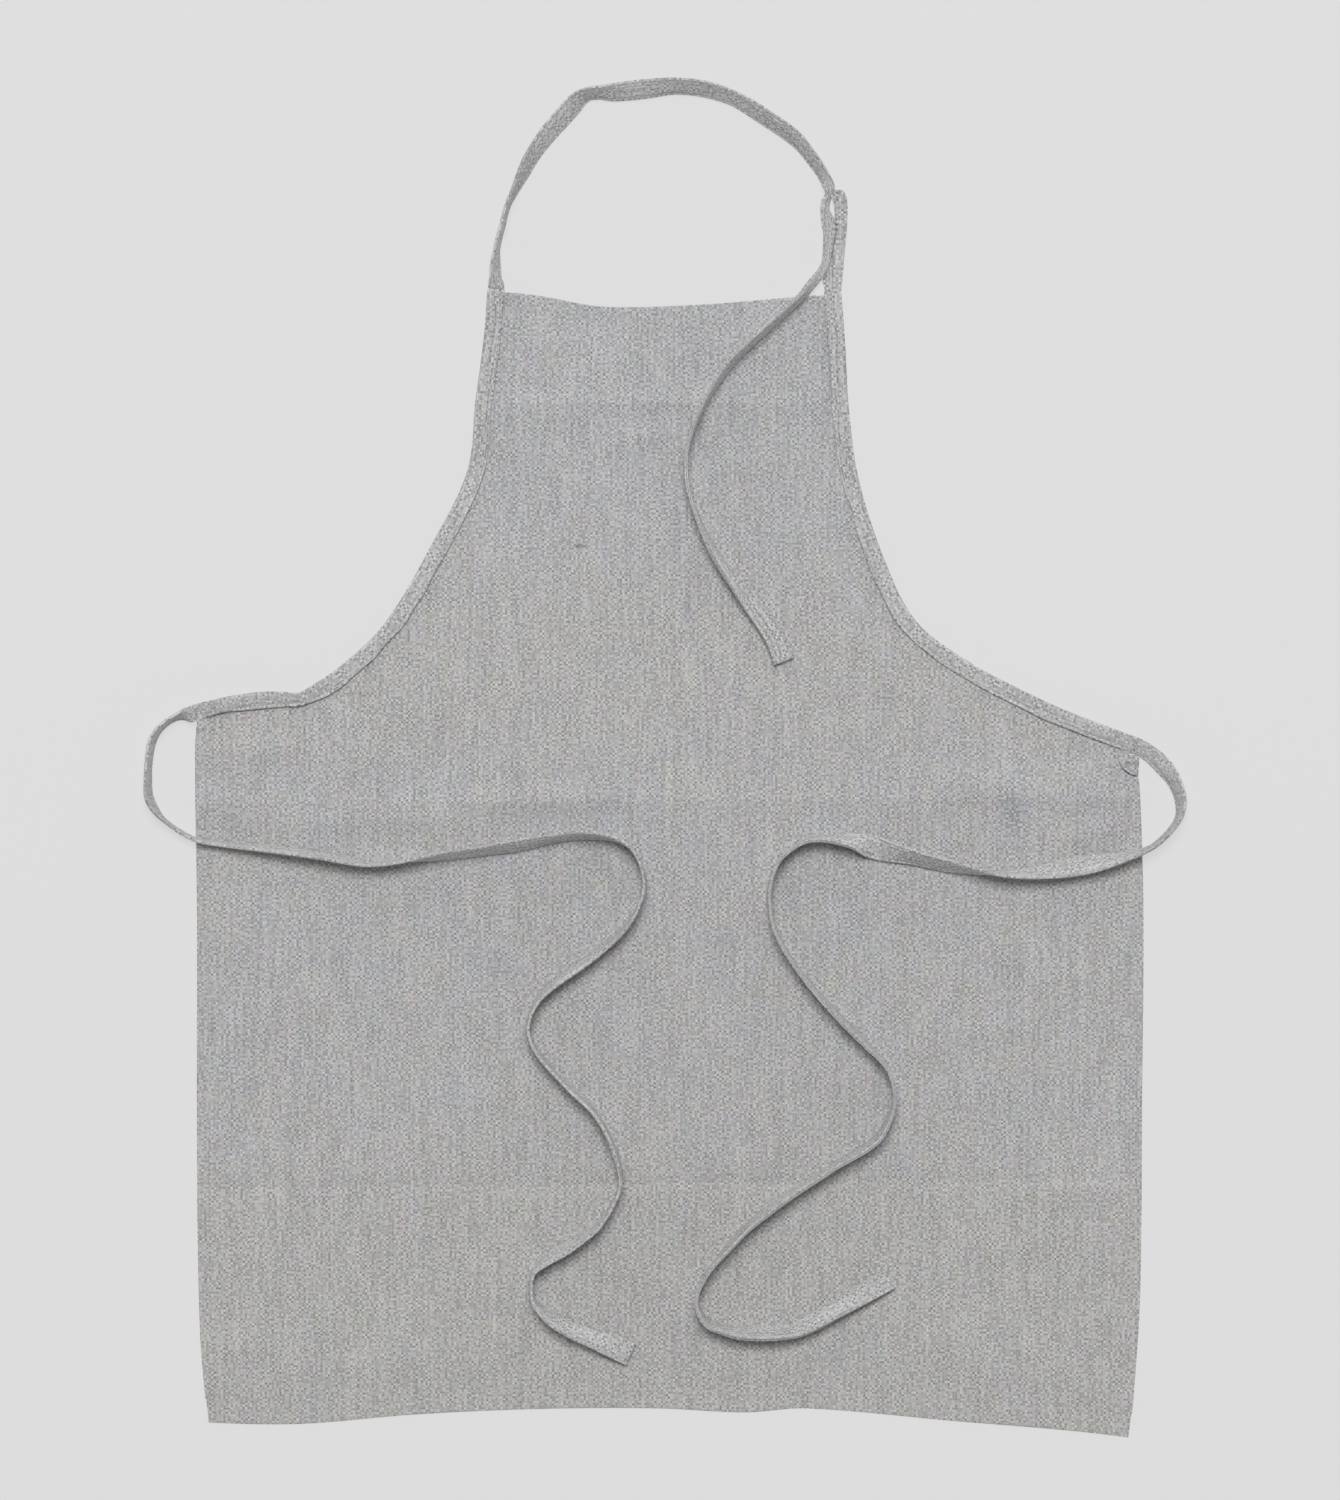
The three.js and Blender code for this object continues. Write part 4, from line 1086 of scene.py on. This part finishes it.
# %% Light
LAMP_RISE = math.radians(68)
LAMP_TURN = math.radians(3)  # from straight above the neck towards the left
LAMP_FAR = 8.0
LAMP_SIZE = 4.0
LAMP_POWER = 480
lamp_out = math.cos(LAMP_RISE)
lamp_way = (-lamp_out * math.sin(LAMP_TURN), lamp_out * math.cos(LAMP_TURN), math.sin(LAMP_RISE))
bpy.ops.object.light_add(type="AREA", location=[LAMP_FAR * way for way in lamp_way],
                         rotation=(LAMP_RISE - math.pi / 2, 0, LAMP_TURN))
lamp = bpy.context.object
lamp.name = "window_light"
lamp.data.shape = "DISK"
lamp.data.size = LAMP_SIZE
lamp.data.energy = LAMP_POWER
print("lamp energy:", lamp.data.energy)

# %% Sky
SKY_TOP, SKY_RIM = 0.03, 1.35
world = bpy.data.worlds.new("soft_sky")
world.use_nodes = True
background = world.node_tree.nodes["Background"]
toward = Wire(world.node_tree).add("TexCoord")
low_down = 1 - one_axis(toward, 2)
sky_light = SKY_TOP + (SKY_RIM - SKY_TOP) * (low_down * low_down)
fill(background, {"Color": (1, 1, 1, 1), "Strength": sky_light})
bpy.context.scene.world = world
bpy.context.scene.view_settings.view_transform = "Standard"
print("sky nodes:", len(world.node_tree.nodes))

# %% [markdown]
# ## Joining the frame
# Each piece takes the place of a solid of the frame, rides on its one body and gets the
# body cloth, the tape cloth or the thread as its material.

DRESS = {
    "body_panel": [body, corner_tuck, hem_stitches],
    "left_binding": [left_binding, left_binding_stitches],
    "right_binding": [right_binding, right_binding_stitches],
    "neck_strap": [neck_strap, strap_stitches],
    "strap_keeper": [strap_keeper],
    "left_tie": [left_tie, left_tie_stitches],
    "right_tie": [right_tie, right_tie_stitches]}
for node, pieces in DRESS.items():
    slot, cloth = ("body_cloth", body_finish) if node == "body_panel" else ("tape_cloth", tape_finish)
    for piece in pieces:
        piece.data.materials.append(thread_finish if piece.name.endswith("_stitches") else cloth)
        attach(piece, "root")
        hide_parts(node)
print("pieces:", sum(len(pieces) for pieces in DRESS.values()))

# %% Sheets
for piece, tape, stitches in [(left_tie, left_tie_lay, left_tie_stitches),
                              (right_tie, right_tie_lay, right_tie_stitches),
                              (neck_strap, strap_lay, strap_stitches)]:
    tape["length"][-1] * MM
for piece, seam, stitches in [(left_binding, left_seam, left_binding_stitches),
                              (right_binding, right_seam, right_binding_stitches)]:
    seam["length"][-1] * MM
